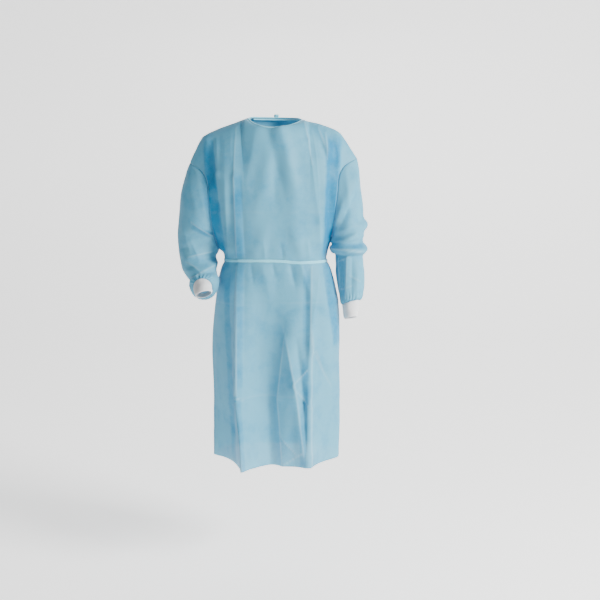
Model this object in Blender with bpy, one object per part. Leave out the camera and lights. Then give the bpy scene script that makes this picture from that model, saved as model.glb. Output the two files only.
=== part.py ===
"""Disposable surgical gown in its worn shape: front, lapped backs, sleeves, cuffs, neck binding and belt.

Metres, +Z up, front towards -Y. The origin is midway between the two neck points of the shoulders,
where the wearer holds the gown up. Left and right are the wearer's: left is +X.
"""

import math

import bpy
import numpy as np
from mathutils.bvhtree import BVHTree

WALL = 0.0012          # cloth, with the stiffness of its folds
CUFF_WALL = 0.0015
BAND = 0.0008          # one layer of the folded strips
GAP = 0.0003           # between sewn pieces
LAP_OUT = 0.0065       # the right back lies this far outside the left one
LAP = 4                # columns that each back runs past the centre
COLUMNS = 32           # across the front, side to side; the packing creases lie a quarter in from each side
NECK = (10, 22)        # columns where the neck opening starts and ends
ROUND = 2.3            # squareness of a body section
SHOULDER_ROUND = 2.6   # squareness of the turn over the shoulder

NECK_DROP = 0.031
NECK_FRONT = 0.092
NECK_BACK = 0.078
NECK_RISE = 0.004
NECK_CURVE = 2.3       # the front edge stays high near the shoulders
BINDING = 0.0065       # finished width of the neck binding
STRIP = 0.0015         # thickness of the folded belt and of the tie ends
BELT_ROWS = (11, 12)   # rows of the body that the belt covers, 10 mm apart
BELT_Z = -0.4535
BELT_KNOT = (0.012, 0.006, 0.009)  # half sizes of a tied knot
NECK_KNOT = (0.009, 0.005, 0.007)
BELT_END = (0.010, 0.260, 0.030)   # width, length and splay of a hanging end
NECK_END = (0.008, 0.130, 0.022)
KNOT_WAIST = 0.18      # how much the strip draws its knot in
NAPE = 0.8             # place of the neck knot down the width of the binding
SEAT = (0.72, 0.76)    # where an end leaves its knot, as shares of the knot's half sizes
HANG = 0.0045          # a hanging end's mean distance from the cloth
PLEAT = 0.0016         # height of the small pleats above a cuff

# The body below the arms, a row for each level.
# z, right side x, right crease x, left crease x, left side x, front depth, back depth,
# how far the right and the left crease stand forward of the section, and how far the cloth
# beside each crease is hollow
SKIRT = (
    (-1.110, -0.210, -0.101, 0.107, 0.206, 0.112, 0.150, 0.098, 0.043, 0.092, 0.035),
    (-0.960, -0.2085, -0.110, 0.109, 0.2095, 0.115, 0.150, 0.086, 0.038, 0.082, 0.028),
    (-0.880, -0.2080, -0.120, 0.110, 0.207, 0.118, 0.149, 0.078, 0.030, 0.070, 0.020),
    (-0.740, -0.2105, -0.121, 0.112, 0.2055, 0.121, 0.145, 0.060, 0.022, 0.048, 0.012),
    (-0.650, -0.204, -0.120, 0.120, 0.2050, 0.122, 0.140, 0.046, 0.018, 0.032, 0.006),
    (-0.570, -0.1935, -0.119, 0.131, 0.1985, 0.121, 0.132, 0.032, 0.015, 0.018, 0.0),
    (-0.500, -0.1805, -0.117, 0.138, 0.1800, 0.117, 0.122, 0.016, 0.012, 0.006, 0.0),
    (-0.4515, -0.166, -0.1145, 0.1425, 0.163, 0.113, 0.113, 0.006, 0.010, 0.0, 0.0),
    (-0.400, -0.186, -0.119, 0.142, 0.179, 0.118, 0.118, 0.008, 0.010, 0.0, 0.0),
)
ROWS_BELOW = (
    -1.110, -1.045, -0.975, -0.905, -0.835, -0.765, -0.695, -0.630, -0.570, -0.520,
    -0.482, -0.4585, -0.4485, -0.433,
)
UNDERARM = (-0.418, -0.393)  # height of the right and the left underarm

# The body above the underarm, a row for each part of the way to the shoulder seam.
# share of the height, right armhole x, right crease x, left crease x, left armhole x,
# front depth, back depth, armhole depth, how far the right and the left crease stand forward
CHEST = (
    (0.00, -0.186, -0.119, 0.142, 0.179, 0.118, 0.118, 0.000, 0.008, 0.010),
    (0.20, -0.199, -0.120, 0.140, 0.187, 0.122, 0.122, 0.055, 0.008, 0.009),
    (0.45, -0.207, -0.1245, 0.137, 0.1935, 0.125, 0.128, 0.078, 0.008, 0.008),
    (0.60, -0.2106, -0.1265, 0.131, 0.1985, 0.125, 0.130, 0.084, 0.007, 0.007),
    (0.80, -0.2168, -0.1275, 0.117, 0.2045, 0.122, 0.128, 0.086, 0.006, 0.006),
    (0.90, -0.233, -0.126, 0.106, 0.218, 0.120, 0.124, 0.086, 0.004, 0.004),
    (1.00, -0.277, -0.1215, 0.0908, 0.261, 0.118, 0.120, 0.086, 0.000, 0.000),
)
ROWS_ABOVE = (0.0, 0.06, 0.16, 0.28, 0.40, 0.52, 0.64, 0.75, 0.84, 0.91, 0.96, 0.99, 1.0)

# How far the cloth's columns lie outside the neck opening: share of the height, distance
SPREAD = (
    (0.00, 0.0), (0.30, 0.0), (0.52, 0.003), (0.75, 0.010), (0.84, 0.013), (0.91, 0.015),
    (0.96, 0.0155), (0.99, 0.0105), (1.00, 0.0),
)

# The shoulder seams, neck point to sleeve: x, z
RIGHT_SHOULDER = (
    (-0.0855, -0.003), (-0.1215, -0.015), (-0.163, -0.029), (-0.211, -0.048), (-0.234, -0.061),
    (-0.244, -0.0765), (-0.2605, -0.108), (-0.277, -0.143),
)
LEFT_SHOULDER = (
    (0.081, -0.008), (0.0908, -0.0105), (0.126, -0.017), (0.1645, -0.0295), (0.190, -0.039),
    (0.209, -0.052), (0.2255, -0.074), (0.2417, -0.099), (0.261, -0.128),
)

# Soft folds of the cloth: x and z of each end, how far the ridge stands out (or in), half width.
FRONT_FOLDS = (
    (0.052, -0.640, 0.035, -1.105, 0.012, 0.030),
    (0.060, -0.650, 0.100, -1.100, 0.010, 0.028),
    (-0.040, -0.560, -0.060, -1.110, -0.008, 0.035),
    (0.105, -0.665, 0.145, -0.780, 0.008, 0.020),
    (0.060, -0.790, 0.105, -0.860, 0.006, 0.020),
    (0.150, -0.480, 0.180, -0.900, 0.010, 0.024),
    (-0.165, -0.480, -0.170, -1.080, 0.010, 0.026),
    (0.010, -0.030, -0.060, -0.330, 0.005, 0.024),
    (0.020, -0.030, 0.075, -0.360, 0.006, 0.026),
    (-0.150, -0.080, -0.170, -0.400, 0.006, 0.022),
    (0.170, -0.090, 0.166, -0.420, 0.007, 0.020),
    (-0.060, -0.435, -0.020, -0.330, 0.005, 0.020),
    (0.090, -0.440, 0.050, -0.330, 0.006, 0.020),
)
BACK_FOLDS = (
    (-0.150, -0.470, -0.168, -1.110, 0.012, 0.026),
    (-0.090, -0.470, -0.100, -1.110, 0.014, 0.026),
    (-0.030, -0.480, -0.028, -1.000, 0.006, 0.024),
    (0.085, -0.470, 0.100, -1.110, 0.014, 0.028),
    (0.145, -0.470, 0.165, -1.110, 0.011, 0.026),
    (-0.100, -0.430, -0.130, -0.150, 0.009, 0.022),
    (0.100, -0.430, 0.128, -0.160, 0.010, 0.022),
    (-0.150, -0.420, -0.170, -0.250, 0.006, 0.018),
    (0.150, -0.400, 0.168, -0.240, 0.006, 0.018),
    (-0.060, -0.060, -0.150, -0.200, 0.006, 0.024),
    (0.060, -0.060, 0.150, -0.200, 0.006, 0.024),
)

# Each sleeve below its armhole, a row for each ring:
# outer edge x, z, inner edge x, z, middle y, half depth forward, how far its front is raised
RIGHT_SLEEVE = (
    (-0.2910, -0.1820, -0.1875, -0.4225, 0.000, 0.0820, 0.000),
    (-0.3025, -0.2220, -0.1885, -0.4265, 0.000, 0.0810, 0.000),
    (-0.3090, -0.2620, -0.1900, -0.4300, 0.000, 0.0790, 0.000),
    (-0.3130, -0.3000, -0.1920, -0.4340, 0.000, 0.0760, -0.004),
    (-0.3165, -0.3380, -0.1945, -0.4380, -0.002, 0.0720, -0.008),
    (-0.3180, -0.3720, -0.1960, -0.4425, -0.006, 0.0680, -0.010),
    (-0.3170, -0.4040, -0.1955, -0.4490, -0.012, 0.0650, -0.010),
    (-0.3130, -0.4340, -0.1915, -0.4575, -0.021, 0.0620, -0.004),
    (-0.3010, -0.4800, -0.1880, -0.4655, -0.036, 0.0570, 0.004),
    (-0.2925, -0.4935, -0.1893, -0.4810, -0.050, 0.0530, 0.012),
    (-0.2810, -0.5070, -0.1850, -0.4980, -0.064, 0.0480, 0.018),
    (-0.2705, -0.5160, -0.1775, -0.5110, -0.078, 0.0420, 0.024),
    (-0.2715, -0.5245, -0.1770, -0.5200, -0.090, 0.0350, 0.030),
    (-0.2705, -0.5320, -0.1790, -0.5290, -0.100, 0.0300, 0.036),
    (-0.2655, -0.5385, -0.1840, -0.5355, -0.108, 0.0240, 0.040),
    (-0.2545, -0.5310, -0.1965, -0.5280, -0.124, 0.0200, 0.027),
)
LEFT_SLEEVE = (
    (0.2690, -0.1690, 0.1805, -0.3960, 0.000, 0.0820, 0.000),
    (0.2720, -0.2110, 0.1830, -0.4005, 0.000, 0.0810, 0.000),
    (0.2770, -0.2490, 0.1845, -0.4040, 0.000, 0.0790, 0.000),
    (0.2815, -0.2910, 0.1840, -0.4080, 0.000, 0.0760, 0.000),
    (0.2830, -0.3165, 0.1820, -0.4120, 0.000, 0.0740, 0.000),
    (0.2950, -0.3425, 0.1805, -0.4160, -0.002, 0.0760, 0.000),
    (0.2820, -0.3700, 0.1795, -0.4200, -0.002, 0.0690, 0.000),
    (0.2795, -0.3860, 0.1790, -0.4240, -0.003, 0.0670, 0.000),
    (0.2875, -0.4040, 0.1800, -0.4280, -0.004, 0.0690, 0.000),
    (0.2935, -0.4205, 0.1830, -0.4320, -0.005, 0.0710, 0.000),
    (0.2845, -0.4365, 0.1900, -0.4360, -0.006, 0.0610, 0.000),
    (0.2830, -0.4625, 0.1950, -0.4600, -0.010, 0.0570, 0.002),
    (0.2865, -0.4985, 0.1955, -0.4955, -0.017, 0.0540, 0.004),
    (0.2870, -0.5345, 0.2020, -0.5350, -0.024, 0.0510, 0.005),
    (0.2825, -0.5610, 0.2085, -0.5670, -0.030, 0.0450, 0.006),
    (0.2765, -0.5775, 0.2125, -0.5900, -0.034, 0.0370, 0.007),
    (0.2700, -0.5830, 0.2150, -0.5975, -0.035, 0.0300, 0.007),
)
RIGHT_CUFF_END = (-0.2445, -0.5600, -0.1935, -0.5450, -0.153, 0.0240, 0.013)
LEFT_CUFF_END = (0.2640, -0.6360, 0.2230, -0.6430, -0.046, 0.0250, 0.006)

BLUE = (0.32, 0.62, 0.80)
BRIGHT = (0.36, 0.72, 0.86)
WHITE = (0.90, 0.90, 0.91)


def clear_scene():
    for item in list(bpy.data.objects):
        bpy.data.objects.remove(item, do_unlink=True)


def curve_through(table, key, column):
    """The smooth curve through one column of a table, against its first column."""
    keys = np.array([row[0] for row in table], float)
    values = np.array([row[column] for row in table], float)
    slopes = np.gradient(values, keys)
    key = np.clip(np.asarray(key, float), keys[0], keys[-1])
    at = np.clip(np.searchsorted(keys, key, side="right") - 1, 0, len(keys) - 2)
    step = keys[at + 1] - keys[at]
    t = (key - keys[at]) / step
    rise = t * t * (3 - 2 * t)
    start = t * (1 - t) ** 2
    end = t * t * (t - 1)
    return (values[at] * (1 - rise) + values[at + 1] * rise
            + step * (slopes[at] * start + slopes[at + 1] * end))


def across(u, right, right_crease, left_crease, left):
    """x of a column: even between the creases, closer together towards the rounded sides."""
    inside = right_crease + (left_crease - right_crease) * (u + 0.5)
    q = np.clip(2 * np.abs(u) - 1, 0, 1)
    ease = np.sin(q * math.pi / 2)
    outside = np.where(u < 0, right_crease + (right - right_crease) * ease,
                       left_crease + (left - left_crease) * ease)
    return np.where(np.abs(u) <= 0.5, inside, outside)


def crease_share(u):
    """How much of a crease's height a column has: sharp at the crease, soft elsewhere."""
    inner = np.clip(2 * np.abs(u), 0, 1) ** 1.6
    outer = np.clip(2 - 2 * np.abs(u), 0, 1) ** 1.3
    return np.where(np.abs(u) <= 0.5, inner, outer)


def side_hollow(u):
    """How hollow a column lies between a crease and its side."""
    q = np.clip(2 * np.abs(u) - 1, 0, 1)
    return np.sin(math.pi * q ** 0.75)


def fold_height(folds, x, z):
    """The summed height of the soft folds at a place."""
    total = np.zeros(np.broadcast(x, z).shape)
    for x0, z0, x1, z1, height, width in folds:
        along = ((x - x0) * (x1 - x0) + (z - z0) * (z1 - z0)) / ((x1 - x0) ** 2 + (z1 - z0) ** 2)
        t = np.clip(along, 0, 1)
        away = np.hypot(x - x0 - t * (x1 - x0), z - z0 - t * (z1 - z0)) / width
        total += height * np.exp(-away * away) * np.sin(math.pi * (0.08 + 0.84 * t)) ** 0.7
    return total


def neck_angle(u):
    """Way round the neck opening, from its right point (0) to its left point (pi)."""
    start, end = (2 * column / COLUMNS - 1 for column in NECK)
    return math.pi * np.clip((u - start) / (end - start), 0, 1)


def neck_spread(u):
    """Which way, and how much, a column leans away from the neck as it goes down."""
    inside = -np.cos(neck_angle(u))
    fade = np.clip((0.8 - np.abs(u)) / 0.425, 0, 1)
    return inside * np.minimum(fade, 1)


def top_edge(u, back):
    """Shoulder seams and neckline: x, forward depth and z of each column's top."""
    start, end = (2 * column / COLUMNS - 1 for column in NECK)
    x = np.zeros_like(u)
    z = np.zeros_like(u)
    for points, crease, neck, side in ((RIGHT_SHOULDER, -0.5, start, -1), (LEFT_SHOULDER, 0.5, end, 1)):
        line = np.array(points)
        run = np.concatenate([[0], np.cumsum(np.hypot(*np.diff(line, axis=0).T))])
        here = u * side
        near = (here - neck * side) / ((crease - neck) * side)
        far = (here - 0.5) / 0.5
        way = np.where(here < 0.5, near * run[1], run[1] + far * (run[-1] - run[1]))
        on = here >= neck * side - 1e-9
        x = np.where(on, np.interp(way, run, line[:, 0]), x)
        z = np.where(on, np.interp(way, run, line[:, 1]), z)
    angle = neck_angle(u)
    inside = (u > start) & (u < end)
    right, left = np.array(RIGHT_SHOULDER[0]), np.array(LEFT_SHOULDER[0])
    share = (1 - np.cos(angle)) / 2
    drop = NECK_RISE if back else -NECK_DROP
    x = np.where(inside, right[0] + (left[0] - right[0]) * share, x)
    dip = np.sin(angle) ** NECK_CURVE
    z = np.where(inside, right[1] + (left[1] - right[1]) * share + drop * dip, z)
    depth = np.where(inside, (NECK_BACK if back else NECK_FRONT) * np.sin(angle), 0.0)
    return x, depth, z


def section_depth(share, middle, edge, closing):
    """Depth of a body section across its width, rising from the depth of its edge."""
    cap = np.clip(1 - np.abs(share) ** ROUND, 0, 1) ** (1 / ROUND + closing * (1 - 1 / ROUND))
    return edge + (middle - edge) * cap


def below(u, z, back):
    """Points of the body under the arms."""
    right, right_crease, left_crease, left = (curve_through(SKIRT, z, c) for c in (1, 2, 3, 4))
    x = across(u, right, right_crease, left_crease, left)
    share = np.where(x < 0, x / right, x / left)
    depth = section_depth(share, curve_through(SKIRT, z, 6 if back else 5), 0.0, 0.0)
    if not back:
        crease = np.where(u < 0, curve_through(SKIRT, z, 7), curve_through(SKIRT, z, 8))
        hollow = np.where(u < 0, curve_through(SKIRT, z, 9), curve_through(SKIRT, z, 10))
        depth = depth + crease * crease_share(u) - hollow * side_hollow(u)
    return x, depth, z


def above(u, w, back):
    """Points of the body from underarm to shoulder, w of the way up."""
    right, right_crease, left_crease, left = (curve_through(CHEST, w, c) for c in (1, 2, 3, 4))
    top_x, top_depth, top_z = top_edge(u, back)
    low = UNDERARM[0] + (UNDERARM[1] - UNDERARM[0]) * (u + 1) / 2
    x = across(u, right, right_crease, left_crease, left)
    x_at_top = across(u, *CHEST[-1][1:5])
    x = x + (top_x - x_at_top) * w ** 1.5 + neck_spread(u) * curve_through(SPREAD, w, 1)
    z = low + (top_z - low) * w
    share = np.where(x < 0, x / right, x / left)
    closing = np.clip(w / 0.35, 0, 1)
    edge = curve_through(CHEST, w, 7)
    depth = section_depth(share, curve_through(CHEST, w, 6 if back else 5), edge, closing)
    if not back:
        crease = np.where(u < 0, curve_through(CHEST, w, 8), curve_through(CHEST, w, 9))
        depth = depth + crease * crease_share(u)
    turn = np.clip(1 - w ** SHOULDER_ROUND, 0, 1) ** (1 / SHOULDER_ROUND)
    depth = top_depth + (depth - top_depth) * turn
    return x, depth, z


def body_grid(u, back):
    """The outer face of the body, a row for each level and a column for each u."""
    rows = []
    for z in ROWS_BELOW:
        near_belt = np.exp(-((z - BELT_Z) / 0.04) ** 2)
        lean = 0.5 * (UNDERARM[1] - UNDERARM[0]) * np.exp(-((z - UNDERARM[0]) / 0.02) ** 2)
        dip = near_belt * belt_line(u) + lean * 0.3 * u
        rows.append(below(u, np.full_like(u, z) + dip, back))
    for w in ROWS_ABOVE:
        rows.append(above(u, np.full_like(u, w), back))
    grid = np.array(rows).transpose(0, 2, 1)
    x, depth, z = grid[..., 0], grid[..., 1], grid[..., 2]
    folds = BACK_FOLDS if back else FRONT_FOLDS
    calm = np.clip((1 - np.abs(u)) / 0.12, 0, 1)[None, :] * quiet_rows(z)
    depth = depth + fold_height(folds, x, z) * calm
    y = np.where(back, depth, -depth)
    return np.stack([x, y, z], -1)


def quiet_rows(z):
    """Folds fade under the belt and at the shoulder seam."""
    belt = 1 - 0.75 * np.exp(-((z - BELT_Z) / 0.012) ** 2)
    top = np.ones_like(z)
    top[-1] = 0.0
    top[-2] = 0.3
    return belt * top


def belt_line(u):
    """The belt sits a little lower towards the wearer's left."""
    return 0.0035 * np.cos(math.pi * np.clip(u, -1, 1) * 0.5 + 0.7) - 0.0025


def unit(vectors):
    return vectors / np.maximum(np.linalg.norm(vectors, axis=-1, keepdims=True), 1e-12)


def normals_of(grid, closed=False):
    """Unit normals of a grid whose rows go up and whose columns go to the left of the outside."""
    up = np.gradient(grid, axis=0)
    if closed:
        side = np.roll(grid, -1, axis=1) - np.roll(grid, 1, axis=1)
    else:
        side = np.gradient(grid, axis=1)
    return unit(np.cross(side, up))


def share_normals(first, second):
    """Two sewn edges lean the same way where they face the same way, so that their walls meet."""
    alike = np.sum(first * second, axis=-1, keepdims=True) > -0.2
    both = unit(first + second)
    return np.where(alike, both, first), np.where(alike, both, second)


def draw_back(edge, neighbour):
    """Moves an edge half a seam's gap towards its neighbours."""
    return edge + unit(neighbour - edge) * GAP * 0.8


def material(name, colour, roughness):
    made = bpy.data.materials.new(name)
    made.use_nodes = True
    shader = made.node_tree.nodes["Principled BSDF"]
    shader.inputs["Base Color"].default_value = (*colour, 1.0)
    shader.inputs["Roughness"].default_value = roughness
    shader.inputs["Metallic"].default_value = 0.0
    return made


def add_object(name, points, faces, look):
    mesh = bpy.data.meshes.new(name)
    mesh.from_pydata([tuple(p) for p in points], [], faces)
    mesh.validate()
    made = bpy.data.objects.new(name, mesh)
    bpy.context.scene.collection.objects.link(made)
    mesh.materials.append(look)
    mesh.shade_smooth()
    return made


def grid_faces(rows, columns, closed, flip):
    """Quads of a grid of points; closed joins the last column to the first."""
    faces = []
    for i in range(rows - 1):
        for j in range(columns if closed else columns - 1):
            k = (j + 1) % columns
            quad = (i * columns + j, i * columns + k, (i + 1) * columns + k, (i + 1) * columns + j)
            faces.append(quad[::-1] if flip else quad)
    return faces


def add_wall(name, outer, normals, thickness, look, closed=False, flip=False):
    """A closed wall between a grid of outer points and the same grid moved inwards."""
    rows, columns = outer.shape[:2]
    inner = outer - normals * thickness
    count = rows * columns
    faces = grid_faces(rows, columns, closed, flip)
    faces += [tuple(count + face[k] for k in (0, 3, 2, 1)) for face in faces]
    loops = []
    if closed:
        loops.append((list(range(columns)) + [0], flip))
        last = [(rows - 1) * columns + j for j in range(columns)]
        loops.append((last + last[:1], not flip))
    else:
        bottom = list(range(columns))
        right = [i * columns + columns - 1 for i in range(rows)]
        top = [(rows - 1) * columns + j for j in range(columns)]
        left = [i * columns for i in range(rows)]
        loops.append((bottom[:-1] + right[:-1] + top[:0:-1] + left[::-1], flip))
    for loop, turned in loops:
        for a, b in zip(loop, loop[1:]):
            rim = (b, a, count + a, count + b)
            faces.append(rim[::-1] if turned else rim)
    points = np.concatenate([outer.reshape(-1, 3), inner.reshape(-1, 3)])
    return add_object(name, points, faces, look)


def body_walls():
    """Outer points and normals of the front and of the two backs, all with the same rows."""
    u = np.linspace(-1, 1, COLUMNS + 1)
    front = body_grid(u, False)
    back = body_grid(u, True)
    middle = COLUMNS // 2
    outward = -normals_of(back)
    ramp = np.clip((np.arange(COLUMNS + 1) - NECK[0]) / (middle - LAP - NECK[0]), 0, 1)
    ramp = ramp * ramp * (3 - 2 * ramp)
    over = back + outward * (LAP_OUT * ramp)[None, :, None]
    right = over[:, :middle + LAP + 1].copy()
    left = back[:, middle - LAP:].copy()
    walls = {"front": front, "right": right, "left": left}
    normals = {"front": normals_of(front), "right": -normals_of(right), "left": -normals_of(left)}
    join_normals(normals)
    return walls, normals


def join_normals(normals):
    """The side and shoulder seams of the three panels lean one way."""
    low = len(ROWS_BELOW) + 1
    middle = COLUMNS // 2
    front = normals["front"]
    for side, column in (("right", 0), ("left", -1)):
        back = normals[side]
        front[:low, column], back[:low, column] = share_normals(front[:low, column], back[:low, column])
    right_top = np.arange(0, NECK[0] + 1)
    left_top = np.arange(NECK[1], COLUMNS + 1)
    for side, columns, shift in (("right", right_top, 0), ("left", left_top, middle - LAP)):
        back = normals[side]
        shared = share_normals(front[-1, columns], back[-1, columns - shift])
        front[-1, columns], back[-1, columns - shift] = shared


def part_seams(walls):
    """Draws the sewn edges of the three panels apart."""
    middle = COLUMNS // 2
    shoulders = {
        "front": [*range(0, NECK[0] + 1), *range(NECK[1], COLUMNS + 1)],
        "right": [*range(0, NECK[0] + 1)],
        "left": [column - middle + LAP for column in range(NECK[1], COLUMNS + 1)],
    }
    edges = {"front": ((0, 1), (-1, -2)), "right": ((0, 1),), "left": ((-1, -2),)}
    for name, grid in walls.items():
        for column, inner in edges[name]:
            grid[:, column] = draw_back(grid[:, column], grid[:, inner])
        tops = shoulders[name]
        grid[-1, tops] = draw_back(grid[-1, tops], grid[-2, tops])


def add_panels(walls, normals, look):
    add_wall("front_panel", walls["front"], normals["front"], WALL, look)
    add_wall("back_panel_right", walls["right"], normals["right"], WALL, look, flip=True)
    add_wall("back_panel_left", walls["left"], normals["left"], WALL, look, flip=True)


def armhole_loop(front, back, column):
    """Values round the armhole: its top, down the front, the underarm and up the back."""
    first = len(ROWS_BELOW)
    down = front[first:, column][::-1]
    up = back[first:, column][1:-1]
    return np.concatenate([down, up])


def set_armhole(front, back, column, values):
    """Puts values round the armhole back on the two panels."""
    first = len(ROWS_BELOW)
    size = len(ROWS_ABOVE)
    front[first:, column] = values[:size][::-1]
    back[first + 1:-1, column] = values[size:]
    back[-1, column] = values[0]
    back[first, column] = values[size - 1]


def sleeve_angles():
    share = np.array(ROWS_ABOVE)
    half = np.arccos(2 * share - 1)
    return np.concatenate([half[::-1], 2 * math.pi - half[1:-1]])


def ring(row, angles):
    """One ring of a sleeve, from its row of sizes."""
    outer = np.array([row[0], row[4], row[1]])
    inner = np.array([row[2], row[4], row[3]])
    depth = np.array([0.0, -row[5], row[6]])
    middle, half = (outer + inner) / 2, (outer - inner) / 2
    return middle + np.cos(angles)[:, None] * half + np.sin(angles)[:, None] * depth


def sleeve_grid(loop, table):
    angles = sleeve_angles()
    return np.array([loop] + [ring(row, angles) for row in table])


def gather(grid, last_rows, height):
    """Small pleats where the sleeve is drawn into the cuff."""
    count = grid.shape[1]
    waves = np.where(np.arange(count) % 2 == 0, 1.0, -1.0)
    for row, share in last_rows:
        middle = grid[row].mean(axis=0)
        out = grid[row] - middle
        out /= np.linalg.norm(out, axis=-1, keepdims=True)
        grid[row] += out * (waves * height * share)[:, None]


def cuff_grid(seam, end):
    """A cuff from the sleeve's last ring to its own end ring."""
    angles = sleeve_angles()
    first, last = ring(seam, angles), ring(end, angles)
    middle = (first + last) / 2
    middle = middle + (middle - middle.mean(axis=0)) * 0.03
    return np.array([first, middle, last])


def add_sleeve(side, walls, normals, table, end, cloth, knit):
    column = 0 if side == "right" else -1
    sign = -1.0 if side == "right" else 1.0
    loop = armhole_loop(walls["front"], walls[side], column)
    grid = sleeve_grid(loop, table)
    gather(grid, ((-3, 0.5), (-2, 1.0)), PLEAT)
    out = normals_of(grid, closed=True) * sign
    panel = armhole_loop(normals["front"], normals[side], column)
    panel, out[0] = share_normals(panel, out[0])
    set_armhole(normals["front"], normals[side], column, panel)
    cuff = cuff_grid(table[-1], end)
    cuff_out = normals_of(cuff, closed=True) * sign
    out[-1], cuff_out[0] = share_normals(out[-1], cuff_out[0])
    grid[0] = draw_back(grid[0], grid[1])
    grid[-1] = draw_back(grid[-1], grid[-2])
    cuff[0] = draw_back(cuff[0], cuff[1])
    flip = side == "right"
    add_wall(f"sleeve_{side}", grid, out, WALL, cloth, closed=True, flip=flip)
    add_wall(f"cuff_{side}", cuff, cuff_out, CUFF_WALL, knit, closed=True, flip=flip)


def sweep(name, stations, look):
    """A closed bar through a row of section loops."""
    count, size = len(stations), len(stations[0])
    points = [p for station in stations for p in station]
    faces = grid_faces(count, size, True, True)
    faces.append(tuple(range(size)))
    faces.append(tuple((count - 1) * size + k for k in range(size))[::-1])
    made = add_object(name, points, faces, look)
    made.data.polygons.foreach_set("use_smooth", [False] * len(made.data.polygons))
    return made


def surface_of(walls, names):
    """The outer faces of some panels, to find places on."""
    points, faces = [], []
    for name in names:
        grid = walls[name]
        rows, columns = grid.shape[:2]
        shift = len(points)
        points += [tuple(p) for p in grid.reshape(-1, 3)]
        flat = grid_faces(rows, columns, False, name != "front")
        faces += [tuple(v + shift for v in face) for face in flat]
    return BVHTree.FromPolygons(points, faces)


def nearest(tree, point):
    place, normal, _, _ = tree.find_nearest(tuple(point))
    return np.array(place), np.array(normal)


def neck_edge(walls, normals):
    """Edge points and outward ways of the cloth all round the neck, from lap edge to lap edge."""
    middle = COLUMNS // 2
    parts = (
        ("right", range(middle + LAP, NECK[0], -1)),
        ("front", range(NECK[0], NECK[1] + 1)),
        ("left", range(NECK[1] - middle + LAP - 1, -1, -1)),
    )
    edge = np.array([walls[name][-1, column] for name, columns in parts for column in columns])
    out = np.array([normals[name][-1, column] for name, columns in parts for column in columns])
    return edge, out


def halved(values):
    """The same row of values with one more between each pair."""
    middle = (values[1:] + values[:-1]) / 2
    return np.insert(values, np.arange(1, len(values)), middle, axis=0)


def add_binding(walls, normals, look):
    """A strip folded over the neck edge, with a leg outside and a leg inside the cloth."""
    edge, out = (halved(values) for values in neck_edge(walls, normals))
    tree = surface_of(walls, ("front", "right", "left"))
    along = unit(np.gradient(edge, axis=0))
    near, far = GAP * 3, GAP * 3 + BAND
    loops = []
    for place, up, way in zip(edge, out, along):
        up = unit(up - way * np.dot(up, way))
        down = np.cross(way, up)
        low, low_up = nearest(tree, place + down * BINDING)
        inner = WALL + near
        loops.append([
            low + low_up * near, low + low_up * far, place + up * far - down * far,
            place - up * (WALL + far) - down * far, low - low_up * (WALL + far),
            low - low_up * inner, place - up * inner - down * near, place + up * near - down * near,
        ])
    return sweep("neck_binding", loops, look)


def belt_ring(walls, normals):
    """Points and outward ways round the waist, on the outermost cloth."""
    middle = COLUMNS // 2
    rows = slice(BELT_ROWS[0], BELT_ROWS[1] + 1)
    lap_end = middle + LAP
    parts = (
        ("front", range(0, COLUMNS + 1)),
        ("left", range(COLUMNS - 1 - middle + LAP, lap_end + 1 - middle + LAP, -1)),
        ("right", range(lap_end, 0, -1)),
    )
    points = np.concatenate([walls[name][rows, list(columns)] for name, columns in parts], axis=1)
    ways = np.concatenate([normals[name][rows, list(columns)] for name, columns in parts], axis=1)
    return points, ways


def add_belt(walls, normals, look):
    points, ways = belt_ring(walls, normals)
    outer = points + ways * (GAP + STRIP)
    return add_wall("waist_belt", outer, ways, STRIP, look, closed=True)


def add_knot(name, place, size, look):
    """A tied knot: a soft lump with a waist where the strip crosses it."""
    bpy.ops.mesh.primitive_uv_sphere_add(segments=16, ring_count=8, radius=1.0, location=place)
    made = bpy.context.object
    made.name = made.data.name = name
    for vertex in made.data.vertices:
        waist = 1 - KNOT_WAIST * math.exp(-((vertex.co.x + 0.15) / 0.25) ** 2)
        vertex.co = (vertex.co.x * size[0], vertex.co.y * size[1], vertex.co.z * size[2] * waist)
    made.data.materials.append(look)
    made.data.shade_smooth()
    return made


def add_end(name, tree, knot, size, shape, side, look):
    """A flat end of a strip that hangs from its knot over the back."""
    width, length, splay = shape
    apart = max(size[0] * 0.4, width / 2 + GAP)
    start = knot + np.array([side * apart, size[1] * SEAT[0] + GAP, -size[2] * SEAT[1]])
    rows, ways = [], []
    for i in range(12):
        t = (i / 11) ** 1.3
        x = start[0] + side * splay * math.sin(t * math.pi / 2)
        z = start[2] - length * t
        place = tree.ray_cast((x, 1.0, z), (0.0, -1.0, 0.0))[0]
        y = start[1] + STRIP
        if i and place is not None:
            y = max(y * (1 - t), place.y + HANG + 0.002 * math.sin(5 * t + side) + STRIP)
        turn = 0.25 * side * math.sin(3 * t)
        half = np.array([math.cos(turn), math.sin(turn), 0.0]) * width / 2
        middle = np.array([x, y, z])
        rows.append([middle + half, middle - half])
        ways.append([[-math.sin(turn), math.cos(turn), 0.0]] * 2)
    return add_wall(name, np.array(rows[::-1]), np.array(ways[::-1]), STRIP, look)


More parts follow.
